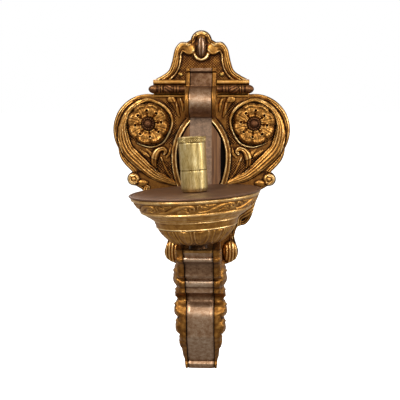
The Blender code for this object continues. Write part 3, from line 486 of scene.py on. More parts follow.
HALF_RAYS, RINGS = 379, 108
angle = np.linspace(0, math.pi, HALF_RAYS)
near_ring, far_ring = ray_reach(OPENING, angle), ray_reach(OUTLINE, angle)
share = np.concatenate([[0, 0.006, 0.013], np.linspace(0.021, 0.978, RINGS - 6), [0.986, 0.993, 1]])[:, None]
reach = near_ring + share * (far_ring - near_ring)
X, Z = reach * np.sin(angle), MIDDLE_Z + reach * np.cos(angle)
print("cartouche grid", X.shape)

# %% [markdown]
# The relief is a sum of simple shapes, each given by the distance to a path: the rim of the
# opening, the reeded moulding that curls round each flower like a comma, thin double lines along
# the edge, a hooked bud, the scrolls of the crest and the volutes below.

# %% Cartouche relief
edge = measure(even(OUTLINE, 300), X, Z)[0]
lip = measure(OPENING, X, Z)[0]
crest = step_up(Z, 125, 127)
cornice = step_up(Z, 107.6, 108.6) * (1 - crest) * step_up(X, 14, 16)
hearts = 1 - step_up(Z, 107.5, 109)

rim = step_up(-lip, -6.0, -5.2)
relief = rim * (3.0 + 0.5 * bead(lip - 1.0, 1.1) - 0.4 * bead(lip - 3.4, 1.7))

comma = curve([
    (27.5, 19), (37, 22.8), (48.5, 27.8), (62, 38.8), (77, 54.2), (81.8, 69), (81.3, 82), (73.8, 97),
    (57.5, 106), (46.5, 103.8), (37.5, 98.5), (32, 91.5), (30.2, 84), (32.5, 74.6), (40.2, 61.7),
    (51.7, 57.3), (61.7, 59.2), (67.5, 61.7)], 110)
comma_halves = [2.2, 4.0, 5.2, 6.2, 6.7, 6.7, 5.8, 4.0, 2.9, 2.6, 2.3, 2.0, 1.8, 1.4, 1.1, 1.0, 0.9, 0.7]
far, side, run = measure(comma, X, Z)
half = np.interp(run, np.linspace(0, 1, len(comma_halves)), comma_halves)
across = np.clip(side * far / half, -1, 1)
inside = step_up(half - far, -0.25, 0.35)
ribs = 0.5 + 0.5 * np.cos(math.pi * (across + 1) * np.where(half > 3.2, 4, 3))
moulding = inside * (0.9 + 2.5 * np.sqrt(np.clip(1 - across ** 2, 0, 1)) * np.clip(half / 5, 0.3, 1)
                     - 0.75 * (1 - ribs) * np.clip(half / 5, 0.25, 1))
groove = np.exp(-((far - half - 0.9) / 0.7) ** 2)

lines = bead(edge - 2.0, 0.8) + bead(edge - 3.9, 0.8)
relief = relief + 0.75 * lines * (1 - cornice) * (lip > 7)
relief = relief + np.where(far < half + 1.6, moulding - 0.9 * groove, 0) * hearts * (lip > 5.4)

enclosed = (side > 0) | ((X < 40) & (Z > 60))
pocket = ((far > half
           + 0.5) & (edge > 9) & (lip > 6.5) & (Z > 20) & (Z < 104) & (X > 26) & enclosed).astype(float)
relief = relief - 0.7 * pocket * hearts
bud = leaf(curve([(46.5, 31), (49.5, 39.5), (48.8, 47.5), (45.5, 53.5), (40.5, 55.6), (37.2, 53), (38.6,
                                                                                                   50.2)]),
           [0.7, 2.6, 3.7, 3.8, 3.2, 2.6, 1.6], X, Z, 3.4, 0.22)
vines = [leaf(curve([(29, 22), (35, 30), (39.4, 39), (42, 46)]), [0.8, 1.3, 1.3, 0.9], X, Z, 1.3),
         leaf(curve([(33, 22.5), (40, 29), (46.5, 36)]), [0.6, 1.2, 0.8], X, Z, 1.1),
         leaf(curve([(52, 40), (57, 48), (64, 54)]), [0.8, 2.4, 0.8], X, Z, 1.5, 0.3),
         leaf(curve([(51, 45), (53.5, 51), (57, 54.5)]), [0.8, 1.9, 0.7], X, Z, 1.3, 0.3),
         leaf(curve([(36.5, 46), (32.6, 52), (31, 60)]), [0.8, 2.0, 0.7], X, Z, 1.3, 0.3),
         leaf(curve([(31, 107), (27.5, 101), (25, 95), (23, 89.5)]), [4.5, 3.4, 2.4, 1.0], X, Z, 2.2, 0.2),
         leaf(curve([(21.5, 107), (19.5, 101), (19, 95)]), [1.0, 1.9, 0.8], X, Z, 1.3)]
relief = relief + bud
for vine in vines:
    relief = np.maximum(relief, vine + np.where(vine > 0, -0.5 * pocket, -9))

s_band = curve([
    (12.4, 158.6), (20, 160.4), (24.2, 154.6), (25.2, 147), (28, 139), (33.5, 132.6), (42, 127.5)])
band = leaf(s_band, [6.0, 4.6, 4.3, 4.8, 5.4, 5.8, 5.0], X, Z, 1.0) ** 0.7 * 1.9
s_far, s_side, s_run = measure(s_band, X, Z)
s_half = np.interp(s_run, np.linspace(0, 1, 7), [6.0, 4.6, 4.3, 4.8, 5.4, 5.8, 5.0])
inner_line = 0.7 * bead(s_far - s_half + 1.0, 0.7) - 0.8 * np.exp(-((s_far - s_half + 2.3) / 0.5) ** 2)
band = band + inner_line * (s_side < 0) * (band > 0.05)
band = np.maximum(band, 2.0 * np.clip(1 - (np.hypot(X - 12.3, Z - 158.4) / 6.4) ** 4, 0, 1) ** 0.7)
u_ring = leaf(curve([(-1, 147.6), (1, 147.6), (5, 149.6), (7.1, 153.6)]), [1.6, 1.6, 1.5, 1.2], X, Z, 1.9)
dome = step_up(-np.hypot(X, Z - crest_z), -10.2, -8.8) * step_up(Z, 161, 163)
lyre = 1.3 * dome - 1.9 * np.exp(-((X - 5.9) / 2.6) ** 2 - ((Z - 167) / 4.6) ** 2)
small = 1.6 * bead(np.hypot(X - 22.3, Z - 133.0), 2.0)
relief = relief + crest * np.maximum.reduce([band, u_ring, lyre, small])
stipple = crest * (band < 0.05) * (u_ring < 0.05) * (dome < 0.05)
relief = relief - 0.5 * stipple * (edge > 4)

curl = np.hypot(X - knob[0], Z - knob[1])
relief = relief + 3.3 * bead(curl, 6.3) - 0.8 * np.exp(-((curl - 2.6) / 0.7) ** 2)
relief = np.maximum(relief, 2.6 * np.sqrt(np.clip(1 - ((X - 62) / 6) ** 2 - ((Z - 19.5) / 3.6) ** 2, 0, 1)))
scroll_path = curve([(57, 14), (60, 5), (56.5, -5), (47, -12), (40, -17), (38, -27), (35, -38)])
side_scroll = leaf(scroll_path, [3, 5, 6, 5.5, 3.6, 3, 3], X, Z, 3.0)
reeds = 0.5 * np.cos(math.tau * measure(scroll_path, X, Z)[0] / 2.7)
relief = np.maximum(relief, side_scroll + reeds * (side_scroll > 0.4))
round_end = np.hypot((X - 31.5) / 8.6, (Z + 54) / 12.6)
volute_end = 3.8 * np.sqrt(np.clip(1 - round_end ** 2, 0, 1))
bowed = np.hypot(X - 14, (Z + 54) * 0.62)
upright = 0.45 * np.cos(math.tau * bowed / 3.3) * step_up(-round_end, -0.95, -0.8)
relief = np.maximum(relief, volute_end + upright * (volute_end > 0))

corner = np.clip(1 - edge / 1.6, 0, 1)
relief = relief - 1.6 * (1 - np.sqrt(1 - corner ** 2))
relief = relief - 0.8 * (1 - np.sqrt(1 - np.clip(1 - lip / 0.8, 0, 1) ** 2))
print("relief from", relief.min().round(2), "to", relief.max().round(2))

# %% [markdown]
# The grid is closed round its two edges: over the turned-back outer edge, along the inside, and
# back to the wall of the opening. The left half mirrors the right one.

# %% Cartouche sheet
def ring(radius, out):
    """One ring of the sheet at a radius along each ray and a distance from the wall."""
    x, z = radius * np.sin(angle), MIDDLE_Z + radius * np.cos(angle)
    return np.stack([x, np.broadcast_to(out, x.shape), z], -1)[None]


front = np.stack([X, 12 + relief, Z], -1)
sheet = np.concatenate([ring(near_ring, 10.0), ring(near_ring, 12.6), front, ring(far_ring, 7.0),
                        ring(far_ring, 3.0), ring(far_ring, 0.3), ring(far_ring - 1.9, 0.3),
                        ring(far_ring - 1.9, 10.0)])
tone = rub(relief, 0.43, 0.55, 3, False)
# The last term is a painted highlight along the inner lip of the opening's rim.
tone = tone - 0.17 * pocket - 0.06 * stipple - 0.04 * rim * (lip > 1.8) + 0.2 * rim * (lip < 1.8)
tone = tone + 0.05 * (relief - smoothed(relief, 14, False)) - 0.07 * crest
# The first two rows are the wall of the opening: painted shade at its back (0.35) and a painted highlight at
# its lip (0.8).
tone = np.concatenate([tone[:1] * 0 + 0.35, tone[:1] * 0 + 0.8, tone, np.full((5, HALF_RAYS), 0.16)])
cloth = np.clip(0.9 * pocket * (relief < 0.6) + 0.5 * stipple, 0, 1)
cloth = np.concatenate([cloth[:1] * 0, cloth[:1] * 0, cloth, np.zeros((5, HALF_RAYS))])
mirror = np.array([-1, 1, 1])
sheet = np.concatenate([sheet, (sheet * mirror)[:, -2:0:-1]], 1)
tone = np.concatenate([tone, tone[:, -2:0:-1]], 1)
cloth = np.concatenate([cloth, cloth[:, -2:0:-1]], 1)
give(piece("cartouche_face", sheet, GILT, np.clip(tone, 0.02, 1), cloth, (True, True), 50), "bracket", "gilt",
     "cartouche_plate")

# %% [markdown]
# The cornice is a straight moulding on each side: a ledge, a hollow where the turned roll lies,
# and a fillet below it. A profile carried straight along X gives it crisp edges.

# %% Cornice mouldings
ledge = even(np.array([
    (12, 109.0), (14.2, 109.0), (14.8, 109.6), (14.8, 111.0), (14.0, 112.0), (12.5, 112.4)]), 16)
ledge_top = even(np.array([
    (12, 121.6), (15.2, 121.8), (16.6, 122.6), (17.3, 123.4), (17.3, 125.6), (16.6, 126.6), (14, 127.3),
    (12, 127.6)]), 24)


def straight(name, profile, start, end, skin, count=40):
    """A profile in (out, up) carried along X, with rounded-over ends that close on its middle."""
    across = np.linspace(start, end, count)
    across = np.concatenate([[start, start], across[1:-1], [end, end]])
    size = np.ones(len(across))
    size[0] = size[-1] = 0
    middle = profile.mean(0)
    shape = middle + size[:, None, None] * (profile - middle)
    grid = np.concatenate([np.broadcast_to(across[:, None, None], shape.shape[:2] + (1,)), shape], -1)
    tone = np.clip(0.45 + 0.1 * (profile[:, 0] - profile[:, 0].mean()), 0.1, 1)
    return piece(name, grid, skin, tone[None], None, (False, True), 30)


for word, side in SIDES:
    for label, profile, reach_x in (("cornice_fillet", ledge, 48.8), ("cornice_ledge", ledge_top, 49.6)):
        give(straight(f"{label}_{word}", profile, side * 16.4, side * reach_x, GILT), "bracket", "gilt")

# %% [markdown]
# Between ledge and fillet lies a turned roll: discs, a long figured bead and an end knob. It was
# turned on a lathe, so it is a radius that changes along X.

# %% Cornice rolls
ROLL_R = np.array([
    (16.4, 0), (16.4, 3.3), (22.4, 3.3), (22.9, 4.3), (24.6, 4.3), (25.1, 3.4), (25.6, 3.9), (27.6, 3.9),
    (28.1, 3.0), (28.9, 3.7), (31.0, 4.3), (33.5, 4.5), (36, 4.3), (38.1, 3.7), (38.9, 3.0), (39.5, 3.3),
    (40.0, 4.2), (41.2, 4.2), (41.7, 3.3), (42.2, 4.2), (43.6, 4.2), (44.2, 3.2), (45.6, 3.2),
    (46.6, 4.1), (48.4, 4.5), (50.6, 4.3), (52.8, 3.2), (54.2, 1.4), (54.6, 0)])
profile = even(ROLL_R, 130)
turn = around(72)
along, radius = profile[:, :1], profile[:, 1:]
figure = ((along > 29.5) & (along < 37.5)) * 0.32 * np.cos(6 * turn + (along - 33.5) * 1.1)
radius_here = radius + figure - 0.32 * (figure != 0)
for word, side in SIDES:
    grid = np.stack([np.broadcast_to(side * along, radius_here.shape), 16.8 - radius_here * np.cos(turn),
                     117.3 + radius_here * np.sin(turn)], -1)
    give(piece(f"turned_roll_{word}", grid, DARK, rub(radius_here, 0.42, 0.75, 4)), "bracket", "bronze",
         f"cornice_roll_{word}")

# %% [markdown]
# A long bead of dark bronze hangs in the crest. It has three soft lobes lengthwise.

# %% Crest bead
u = np.linspace(-math.pi / 2, math.pi / 2, 48)[:, None]
v = around(64)
lobes = 1 + 0.07 * np.cos(6 * v)
width = np.abs(np.cos(u)) ** 0.75
grid = np.stack([4.1 * width * np.cos(v) * lobes, 12.4 + np.maximum(3.4 * width * np.sin(v) * lobes, 0),
                 161 + 10.2 * np.sin(u) + 0 * v], -1)
give(piece("lobed_bead", grid, BRONZE, 0.42 + 0.25 * np.cos(6 * v) + 0 * u), "bracket", "bronze",
     "crest_bead")

# %% [markdown]
# Each heart holds a flower: eight broad petals over eight behind, each creased and curled, with
# small round eyes pierced between them. A low domed seed head with a
# beaded edge, the head of the rivet, holds it.

# %% Flowers
FLOWER_X, FLOWER_Z = 54.8, 81.7


def flower_row(side, phi, radius, out):
    """Points at a radius and angle about the middle of a heart, at a distance from the wall."""
    x = side * (FLOWER_X + radius * np.cos(phi))
    return np.stack([x, out + 0 * x, FLOWER_Z + radius * np.sin(phi)], -1)


def flower_grid(side):
    """Rings and rays: height is a ridge along each petal, lower towards its sides and ends, with
    creases, curled eyes between petals, and a wavy outer edge."""
    phi = around(320)
    t = np.linspace(0.02, 1, 84)[:, None]
    wave = (phi * 8 / math.pi + 0.3) % 2 - 1
    rim_r = 19.3 + 2.7 * np.cos(wave * math.pi / 2) ** 0.7
    r = t * rim_r
    back = ((phi * 8 / math.pi + 1.3) % 2) - 1
    top = np.cos(wave * math.pi / 2) ** 0.7 * np.sin(np.clip((r - 5.5) / 16.8, 0, 1) * math.pi) ** 0.5
    under = np.cos(back * math.pi / 2) ** 0.6 * np.sin(np.clip((r - 9) / 13, 0, 1) * math.pi) ** 0.8
    height = 0.9 + np.maximum(3.7 * top, 2.1 * under)
    height = height - 1.1 * np.exp(-(wave * r / 3.0) ** 2) * (r > 8) * np.clip((r - 8) / 3, 0, 1)
    height = height + 0.3 * np.cos(3 * math.pi * wave) * np.clip((r - 9) / 6, 0, 1)
    height = height + 1.7 * np.exp(-((r - 0.88 * rim_r) / 1.5) ** 2) * np.cos(wave * math.pi / 2)
    eye_phi = np.floor((phi * 8 / math.pi + 0.3) / 2) * math.pi / 4 - 0.3 * math.pi / 8
    for shift in (0, math.tau / 8):
        ex, ey = 13.6 * np.cos(eye_phi + shift), 13.6 * np.sin(eye_phi + shift)
        gap = np.hypot(r * np.cos(phi) - ex, r * np.sin(phi) - ey)
        height = height + 0.8 * np.exp(-((gap - 1.7) / 0.7) ** 2) - 1.6 * np.exp(-(gap / 0.9) ** 2)
    inner = np.abs(r - 8.2)
    height = height + 1.2 * bead(inner, 1.4) * (0.7 + 0.3 * np.cos(24 * phi))
    height = np.clip(height, 0.4, 5.4) - 0.8 * np.clip((t - 0.94) / 0.06, 0, 1) ** 2
    tone = rub(height, 0.5, 0.5, 4)
    front = flower_row(side, phi, r, 16.0 + height)
    closing = []
    for radius, out in ((rim_r - 0.3, 15.9), (rim_r - 2.5, 15.4), (13, 14.8), (13, 12.2), (0, 12.2)):
        closing.append(flower_row(side, phi, radius, out))
    centre = flower_row(side, phi, 0, 17.0)
    tone = np.concatenate([tone[:1], tone, np.full((5, 320), 0.15)])
    return np.concatenate([centre, front] + closing), tone


def seed_head(side):
    """A low dome, a groove round it, and a ring of round beads at the edge."""
    phi = around(120)
    t = np.linspace(0.01, 1, 40)[:, None]
    r = 6.4 * t
    grains = 0.16 * np.cos(9 * phi + 1.6 * r) * np.cos(9 * phi - 1.6 * r) * np.clip(t * 2, 0, 1)
    height = 3.3 * np.sqrt(np.clip(1 - (r / 4.2) ** 2, 0, 1)) + grains * (r < 4)
    height = np.maximum(height, 1.6 * bead(r - 5.4, 1.15) * (0.65 + 0.35 * np.cos(15 * phi)))
    rows = [flower_row(side, phi, 0, 24.0), flower_row(side, phi, r, 20.4 + height)]
    for radius, out in ((6.4, 18.0), (0.0, 18.0)):
        rows.append(flower_row(side, phi, radius, out))
    tone = rub(height, 0.34, 0.5, 2)
    return np.concatenate(rows), np.concatenate([tone[:1], tone, np.full((2, 120), 0.1)])


for word, side in SIDES:
    grid, tone = flower_grid(side)
    give(piece(f"flower_{word}", grid, GILT, tone, None, (False, True), 60), "bracket", "gilt",
         f"rosette_{word}")
    grid, tone = seed_head(side)
    give(piece(f"seed_head_{word}", grid, DARK, tone, None, (False, True), 60), "bracket", "bronze",
         f"rosette_pin_{word}")

# %% [markdown]
# The bracket has a scroll above and a console below. Sheet bronze covers their fronts, with a
# narrow bevel along each side. Each strip is ruled between its front line and its back line, both
# drawn in side view, so its thickness comes out right at every step.

# %% Side lines of the bracket
UPPER_FRONT = np.vstack([[(20, 138.6), (20, 135.4), (17, 134.0), (17, 121)], arc((30, 104), 16, 128, -88,
                                                                                 60)])
UPPER_BACK = np.vstack([[(15.1, 138.6), (15.1, 119)], arc((30, 104), 14.1, 128, -88, 60)])


def hollow(start, end, count=20):
    """A quarter ellipse that leaves the first point level and reaches the second upright."""
    t = np.linspace(0, math.pi / 2, count)
    return np.stack([start[0] + (end[0] - start[0]) * np.sin(t), end[1] + (start[1] - end[1]) * np.cos(t)], 1)


LOWER_FRONT = np.vstack([
    [(102, -38.6), (100.4, -42.6)], arc((99.4, -45.4), 2.6, 70, -60, 12), hollow((97, -48.6), (75, -67)),
    [(72, -69.5), (64.5, -71.5)], arc((62, -76.5), 4.5, 60, -70, 14), [(60.5, -82.5), (60.5, -87)],
    curve([(54, -89), (41, -93), (36, -100), (41, -108), (44, -118), (42, -138.7)]),
    [(15, -173), (16.5, -176), (15, -181)]])
LOWER_BACK = np.vstack([
    [(98.3, -38.6), (98.3, -45)], hollow((94.8, -46.8), (71.8, -66)), [(59.3, -70), (58, -84.8)],
    curve([(41.8, -89.2), (33.2, -99), (38.2, -109), (41.4, -118), (37.6, -138.3)]), [(12.4, -173),
                                                                                      (12.4, -181)]])


def ruled(front, back, across, drop, count, name, skin, painted_light, sharp=35):
    """A strip between a front and a back line. Across the strip the front stays at full height and
    drops towards the back near the sides. A table of heights gives the tone from the foot up, as
    painted highlight where the strip faces the light and painted shade under ledges and rolls."""
    front, back = even(front, count), even(back, count)
    base = np.interp(front[:, 1], *np.transpose(painted_light))[:, None]
    reach = back - front
    size = np.maximum(np.hypot(*reach.T), 1e-6)[:, None]
    drop = np.asarray(drop)[None]
    ahead = front[:, None] + (reach / size)[:, None] * np.minimum(drop, 0.9 * size)[..., None]
    x = np.broadcast_to(np.asarray(across)[None, :, None], (count, len(across), 1))
    face = np.concatenate([x, ahead], -1)
    behind = np.concatenate([x, np.broadcast_to(back[:, None], ahead.shape)], -1)[:, ::-1]
    grid = np.concatenate([face, behind], 1)
    ends = [grid[:1] * 0 + grid[k].mean(0) for k in (0, -1)]
    grid = np.concatenate([ends[0], grid, ends[1]])
    height = front[:, 0] - smoothed(front, 5, False, (0,))[:, 0]
    tone = np.clip(base + 0.1 * height[:, None] - 0.09 * drop, 0.05, 1)
    tone = np.concatenate([tone, tone * 0 + 0.25], 1)
    tone = np.concatenate([tone[:1], tone, tone[-1:]])
    return piece(name, grid, skin, tone, None, (False, True), sharp)


def bevelled(half, strip, fall, crown=0.15):
    """Places across a strip, and how far each lies back: a level middle and bevelled sides."""
    middle = np.linspace(-(half - strip), half - strip, 15)
    across = np.concatenate([[-half, -half + 0.15], [-half + 0.5 * strip], middle, [half - 0.5 * strip],
                             [half - 0.15, half]])
    drop = np.concatenate([[fall + 0.4, fall], [0.55 * fall], crown * (middle / half) ** 2, [0.55 * fall],
                           [fall, fall + 0.4]])
    return across, drop


# Painted light and shade by height: the scroll is darker in its neck under the cap ledge and under the roll
# and lighter on the roll's top; the console is lighter on its beads, belly and toe.
SCROLL_PAINTED_LIGHT = [(88, 0.5), (95, 0.55), (104, 0.6), (115, 0.5), (121, 0.35), (134, 0.36), (138.6, 0.5)]
CONSOLE_PAINTED_LIGHT = [(-181, 0.5), (-172, 0.6), (-142, 0.66), (-137, 0.58), (-118, 0.6), (-100, 0.55), (-90, 0.5),
                  (-80, 0.64), (-69, 0.6), (-64, 0.48), (-51, 0.5), (-45, 0.62), (-38, 0.6)]
give(ruled(UPPER_FRONT, UPPER_BACK, *bevelled(11, 0.9, 0.35), 150, "scroll_band", BRONZE, SCROLL_PAINTED_LIGHT),
     "bracket", "bronze",
     "upper_band")
give(ruled(LOWER_FRONT, LOWER_BACK, *bevelled(14, 2.5, 1.1), 260, "console_band", BRONZE, CONSOLE_PAINTED_LIGHT),
     "bracket", "bronze",
     "lower_band")

# %% [markdown]
# Cast cheeks close the sides. The upper ones carry a plain volute round the roll. The lower ones
# are acanthus leaves, whose lobes swell out to the sides and show in the front outline. The side
# face is ruled from the front line to the back line and pushed outward by its relief.

# %% Cheeks
def cheek(name, front, back, inner, thick, relief, side, count, skin, slot_deep, slot_fill, knurl, match):
    """A cast cheek: inner face, rounded front edge, outer face with relief, and back. Behind the
    depth of the shadow line beside the strip, the inner face is filled out to meet the wood. Match
    pairs places along the front with places along the back, so that the rulings never cross."""
    track, steps = even(back, 2001), np.linspace(0, 1, 2001)
    reached = np.interp(np.linspace(0, 1, count), *np.transpose(match))
    front, back = even(front, count), np.stack([np.interp(reached, steps, track[:, k]) for k in (0, 1)], 1)
    t = np.concatenate([[0, 0.004, 0.012], np.linspace(0.022, 1, 90)])
    spots = front[:, None] * (1 - t)[None, :, None] + back[:, None] * t[None, :, None]
    out, up = spots[..., 0], spots[..., 1]
    from_front = t[None] * np.hypot(*(back - front).T)[:, None]
    corner = np.clip(1 - from_front / 1.3, 0, 1)
    carved = relief(out, up, from_front)
    width = thick(up) + carved - 1.3 * (1 - np.sqrt(1 - corner ** 2))
    outer = np.stack([side * (inner + width), out, up], -1)
    back_in = side * (inner - slot_fill * step_up(from_front, slot_deep, slot_deep + 0.5))
    inside = np.stack([back_in, out, up], -1)[:, ::-1]
    ahead = (front - back) / np.hypot(*(front - back).T)[:, None]
    along = run_of(front)[:, None]
    part = np.array([[0.08, 0.25, 0.5, 0.75, 0.92]])
    swell = np.sin(math.pi * part) * (0.5 + knurl * np.cos(math.tau * along / 7.4 + 3 * part))
    face = np.stack([side * (inner + part * width[:, :1]), front[:, :1] + ahead[:, :1] * swell,
                     front[:, 1:] + ahead[:, 1:] * swell], -1)
    grid = np.concatenate([outer, inside[:, [0, 30, 60, 85, 88, -1]], face], 1)
    ends = [grid[:1] * 0 + grid[k].mean(0) for k in (0, -1)]
    grid = np.concatenate([ends[0], grid, ends[1]])
    tone = rub(carved, 0.47, 0.4, 4, False)
    tone[:, :5] = np.clip(tone[:, :5], 0.42, 0.62)
    # The six inner-face columns are near black: painted shade for the shadow line between cheek and strip.
    tone = np.concatenate([tone, np.full((count, 6), 0.02), 0.34 + 0.3 * swell], 1)
    tone = np.clip(np.concatenate([tone[:1], tone, tone[-1:]]), 0.03, 1)
    return piece(name, grid, skin, tone, None, (False, True), 50)


def volute(out, up, from_front):
    """A spiral groove round the roll and a plain border along the front."""
    r = np.hypot(out - 30, up - 104)
    turn = np.arctan2(up - 104, out - 30)
    spiral = 0.5 * np.cos(math.tau * (r / 5.4 - turn / (math.tau))) * step_up(-r, -16, -14)
    eye = 1.0 * bead(r, 3.2)
    return spiral + eye - 0.5 + 0.5 * step_up(-from_front, -2.4, -1.8)


def acanthus(out, up, from_front):
    """Five lobes, each a dome fluted by veins that fan from its foot, over a thin vertical stem."""
    total = 0.0 * out
    for c_out, c_up, r_out, r_up, rise, veins in (
            (46, -71, 20, 13.5, 7.6, 9), (38, -92, 16, 9.5, 6.4, 7), (30, -110, 15, 10.5, 8.0, 7),
            (30, -128, 15, 10.5, 6.6, 7), (25, -147, 12, 8, 3.4, 5)):
        dx, dz = (out - c_out) / r_out, (up - c_up) / r_up
        r = np.hypot(dx, dz)
        fan = np.arctan2(dz, dx + 0.9)
        dome = np.clip(1 - r ** 2.2, 0, 1) ** 0.6
        notch = 1 - 0.16 * (0.5 - 0.5 * np.cos(veins * 2 * fan))
        total = np.maximum(total, rise * dome * notch * (1 - 0.12 * np.exp(-(dz / 0.1) ** 2)))
    for path, halves, rise in (
            ([(7, -168), (12, -140), (15, -118), (17, -98), (24, -84), (40, -90), (52, -84)],
             [1, 2, 2.4, 2.4, 2, 1.2], 1.7),
            ([(16, -97), (22, -72), (34, -56), (56, -52), (80, -49), (92, -44)],
             [1.4, 2.2, 2.6, 2.4, 1.8, 1.0], 1.7),
            ([(20, -76), (18, -62), (24, -50), (33, -47)], [1.2, 3.4, 3.0, 1.0], 1.6),
            ([(44, -54), (52, -46), (62, -44)], [1.0, 3.2, 1.0], 1.5),
            ([(62, -52), (72, -58), (80, -56)], [1, 3.2, 1], 1.5),
            ([(14, -120), (8, -112), (8, -100)], [1.0, 3.2, 1.0], 1.5),
            ([(11, -146), (5, -138), (5, -128)], [1, 2.6, 1], 1.4)):
        total = np.maximum(total, leaf(curve(path, 40), halves, out, up, rise, 0.18))
    stem = 0.9 * bead(from_front - 2.6, 1.1) * step_up(up, -172, -165)
    rope = 0.5 * bead(from_front - 2.6, 1.6) * np.cos(math.tau * up / 3.4) * step_up(up, -64, -60)
    return np.maximum(total, stem + rope)


SCROLL_BACK = np.array([(12.3, 138.6), (12.3, 98.2), (15.3, 98.2), (15.3, 88.3)])
CONSOLE_BACK = np.array([(12.3, -36), (12.3, -70.8), (0.6, -70.8), (0.6, -181)])
SCROLL_MATCH = [(0, 0), (0.26, 0.405), (1, 1)]
CONSOLE_MATCH = [(0, 0), (0.303, 0.222), (0.374, 0.297), (1, 1)]
for word, side in SIDES:
    give(cheek(f"scroll_cheek_{word}", UPPER_FRONT, SCROLL_BACK, 11.5, lambda up: 4.0 + 0 * up, volute,
               side, 170,
               GILT, 1.6, 0.48, 0.0, SCROLL_MATCH), "bracket", "gilt", f"upper_cheek_{word}")
    give(cheek(f"leaf_cheek_{word}", np.vstack([[(103, -36)], LOWER_FRONT]), CONSOLE_BACK, 14.5,
               lambda up: 6.2 - 3.7 * np.clip((-138.7 - up) / 42.3, 0, 1), acanthus, side, 420, GILT,
               2.6, 0.8, 0.2, CONSOLE_MATCH),
         "bracket", "gilt", f"lower_cheek_{word}")

# %% [markdown]
# The drip cup was spun and chased: turned profiles with ornament pressed into them. Its axis leans
# a little to the left. A turned piece is a profile of radius and height, swept round that axis,
# and its ornament pushes the surface outward.

# %% Turning about the cup's axis
CUP_OUT, SHELF_Z, LEAN = 95.0, -36.0, math.radians(3.3)


def turned(name, profile, columns, skin, push=None, base=0.48, gain=0.5, reach=3, sharp=40, closed=True,
           painted_light_and_marks=0.0):
    """Profile swept round the leaning axis. The push is a height for each profile point and angle,
    along the profile's outward normal."""
    turn = around(columns)
    lean = np.gradient(profile, axis=0)
    size = np.maximum(np.hypot(*lean.T), 1e-9)[:, None]
    normal = np.stack([-lean[:, 1], lean[:, 0]], 1) / size
    push = np.zeros((len(profile), columns)) if push is None else push
    radius = profile[:, :1] + normal[:, :1] * push
    height = profile[:, 1:] + normal[:, 1:] * push
    x, y = radius * np.cos(turn), radius * np.sin(turn)
    grid = np.stack([x * math.cos(LEAN) - height * math.sin(LEAN), CUP_OUT - y,
                     SHELF_Z + x * math.sin(LEAN) + height * math.cos(LEAN)], -1)
    bulge = rub(push, base, gain, reach)
    body = ((profile - smoothed(profile, 3, False, (0,))) * normal).sum(1)
    # The last term adds painted highlight and painted shade in bands on the cup, and darker prick marks on
    # the socket.
    tone = np.clip(bulge + 0.35 * body[:, None] + painted_light_and_marks, 0.03, 1)
    return piece(name, grid, skin, tone, None, (closed, True), sharp)


# %% [markdown]
# The bowl has a bright gilt rolled rim, a frieze of leafy S-scrolls between two bands, and a plain
# hollow below. A painted highlight lightens the rim, the lower band and the hollow. Nine scrolls
# run round it. It was spun over a
# form and chased, and here it is one profile swept round, with the ornament as a height on it.

# %% Bowl
BOWL_OUT = np.array([
    (59.4, 53.7), (60.6, 53.5), (61.3, 52.2), (61.0, 50.9), (59.9, 50.2), (58.7, 50.1), (58.3, 49.2),
    (56.6, 46.6), (54.6, 43.6), (53.2, 41.2), (52.5, 40.2), (53.0, 39.6), (52.6, 38.4), (51.2, 37.6),
    (49.6, 37.6), (48.9, 36.8), (47.6, 35.2), (45.6, 34.0), (43.8, 33.9), (43.6, 32.6), (42.8, 32.0),
    (40.7, 32.0)])
BOWL_IN = np.array([(3.3, 32), (3.3, 34), (42.7, 35), (45.45, 38), (51.7, 45), (58.5, 49.7), (58.5, 53.7)])
outer = even(BOWL_OUT, 104)
profile = np.vstack([outer, even(BOWL_IN[:2], 3), even(BOWL_IN[2:], 14)])
turn = around(720)
run = run_of(profile)
top_run, low_run = np.interp([50.0, 40.4], profile[:104, 1][::-1], run[:104][::-1])
down = ((run - top_run) / (low_run - top_run))[:, None]
in_frieze = ((down > 0.02) & (down < 0.98) & (np.arange(len(run))[:, None] < 104)).astype(float)
REPEAT = 39.0
place = (turn / (math.tau) * 9 * REPEAT + 6) % REPEAT + 0 * down
rise = (1 - down) * 10.5 + 0 * turn
scroll = leaf(curve([(2, 1.8), (9, 2.2), (16, 4.4), (23, 7.4), (30, 8.6), (35.5, 7.2), (36.4, 4.4), (33,
                                                                                                     3.4)]),
              [0.7, 1.2, 1.6, 1.7, 1.6, 1.5, 1.3, 0.9], place, rise, 1.5)
for path, halves in (([(8, 8.9), (12, 7.8), (16.5, 8.9)], [0.8, 1.8, 0.6]),
                     ([(4, 7.5), (7.6, 5.6), (11.5, 6.2)], [0.8, 1.9, 0.8]),
                     ([(21, 2.0), (26, 3.0), (31, 1.6)], [0.7, 1.9, 0.6]),
                     ([(25, 5.2), (28.6, 5.6), (31, 4.6)], [0.5, 1.4, 0.5]),
                     ([(1, 5.2), (0, 7.4), (2.5, 9.2)], [0.6, 1.3, 0.5])):
    scroll = np.maximum(scroll, leaf(curve(path, 20), halves, place, rise, 1.15, 0.25))
knot = np.hypot(place - 33.0, rise - 5.6)
scroll = np.maximum(scroll, 1.5 * bead(knot, 1.5))
push = in_frieze * (scroll - 0.35
                    + 0.12 * np.cos(math.tau * place / 1.9) * np.cos(math.tau * rise / 1.9))
rows = np.arange(len(run))[:, None]
level = profile[:, 1:]
# Painted highlight: tone raised on the rim, on the band at 39.4 and on the hollow below.
painted_bands = 0.2 * (level > 50.1) + 0.18 * (np.abs(level - 39.4) < 1.0) + 0.1 * (level < 38.2)
give(turned("frieze_bowl", profile, 720, GILT, push, 0.58, 0.32, painted_light_and_marks=painted_bands * (rows < 104)), "cup", "gilt",
     "cup_bowl")

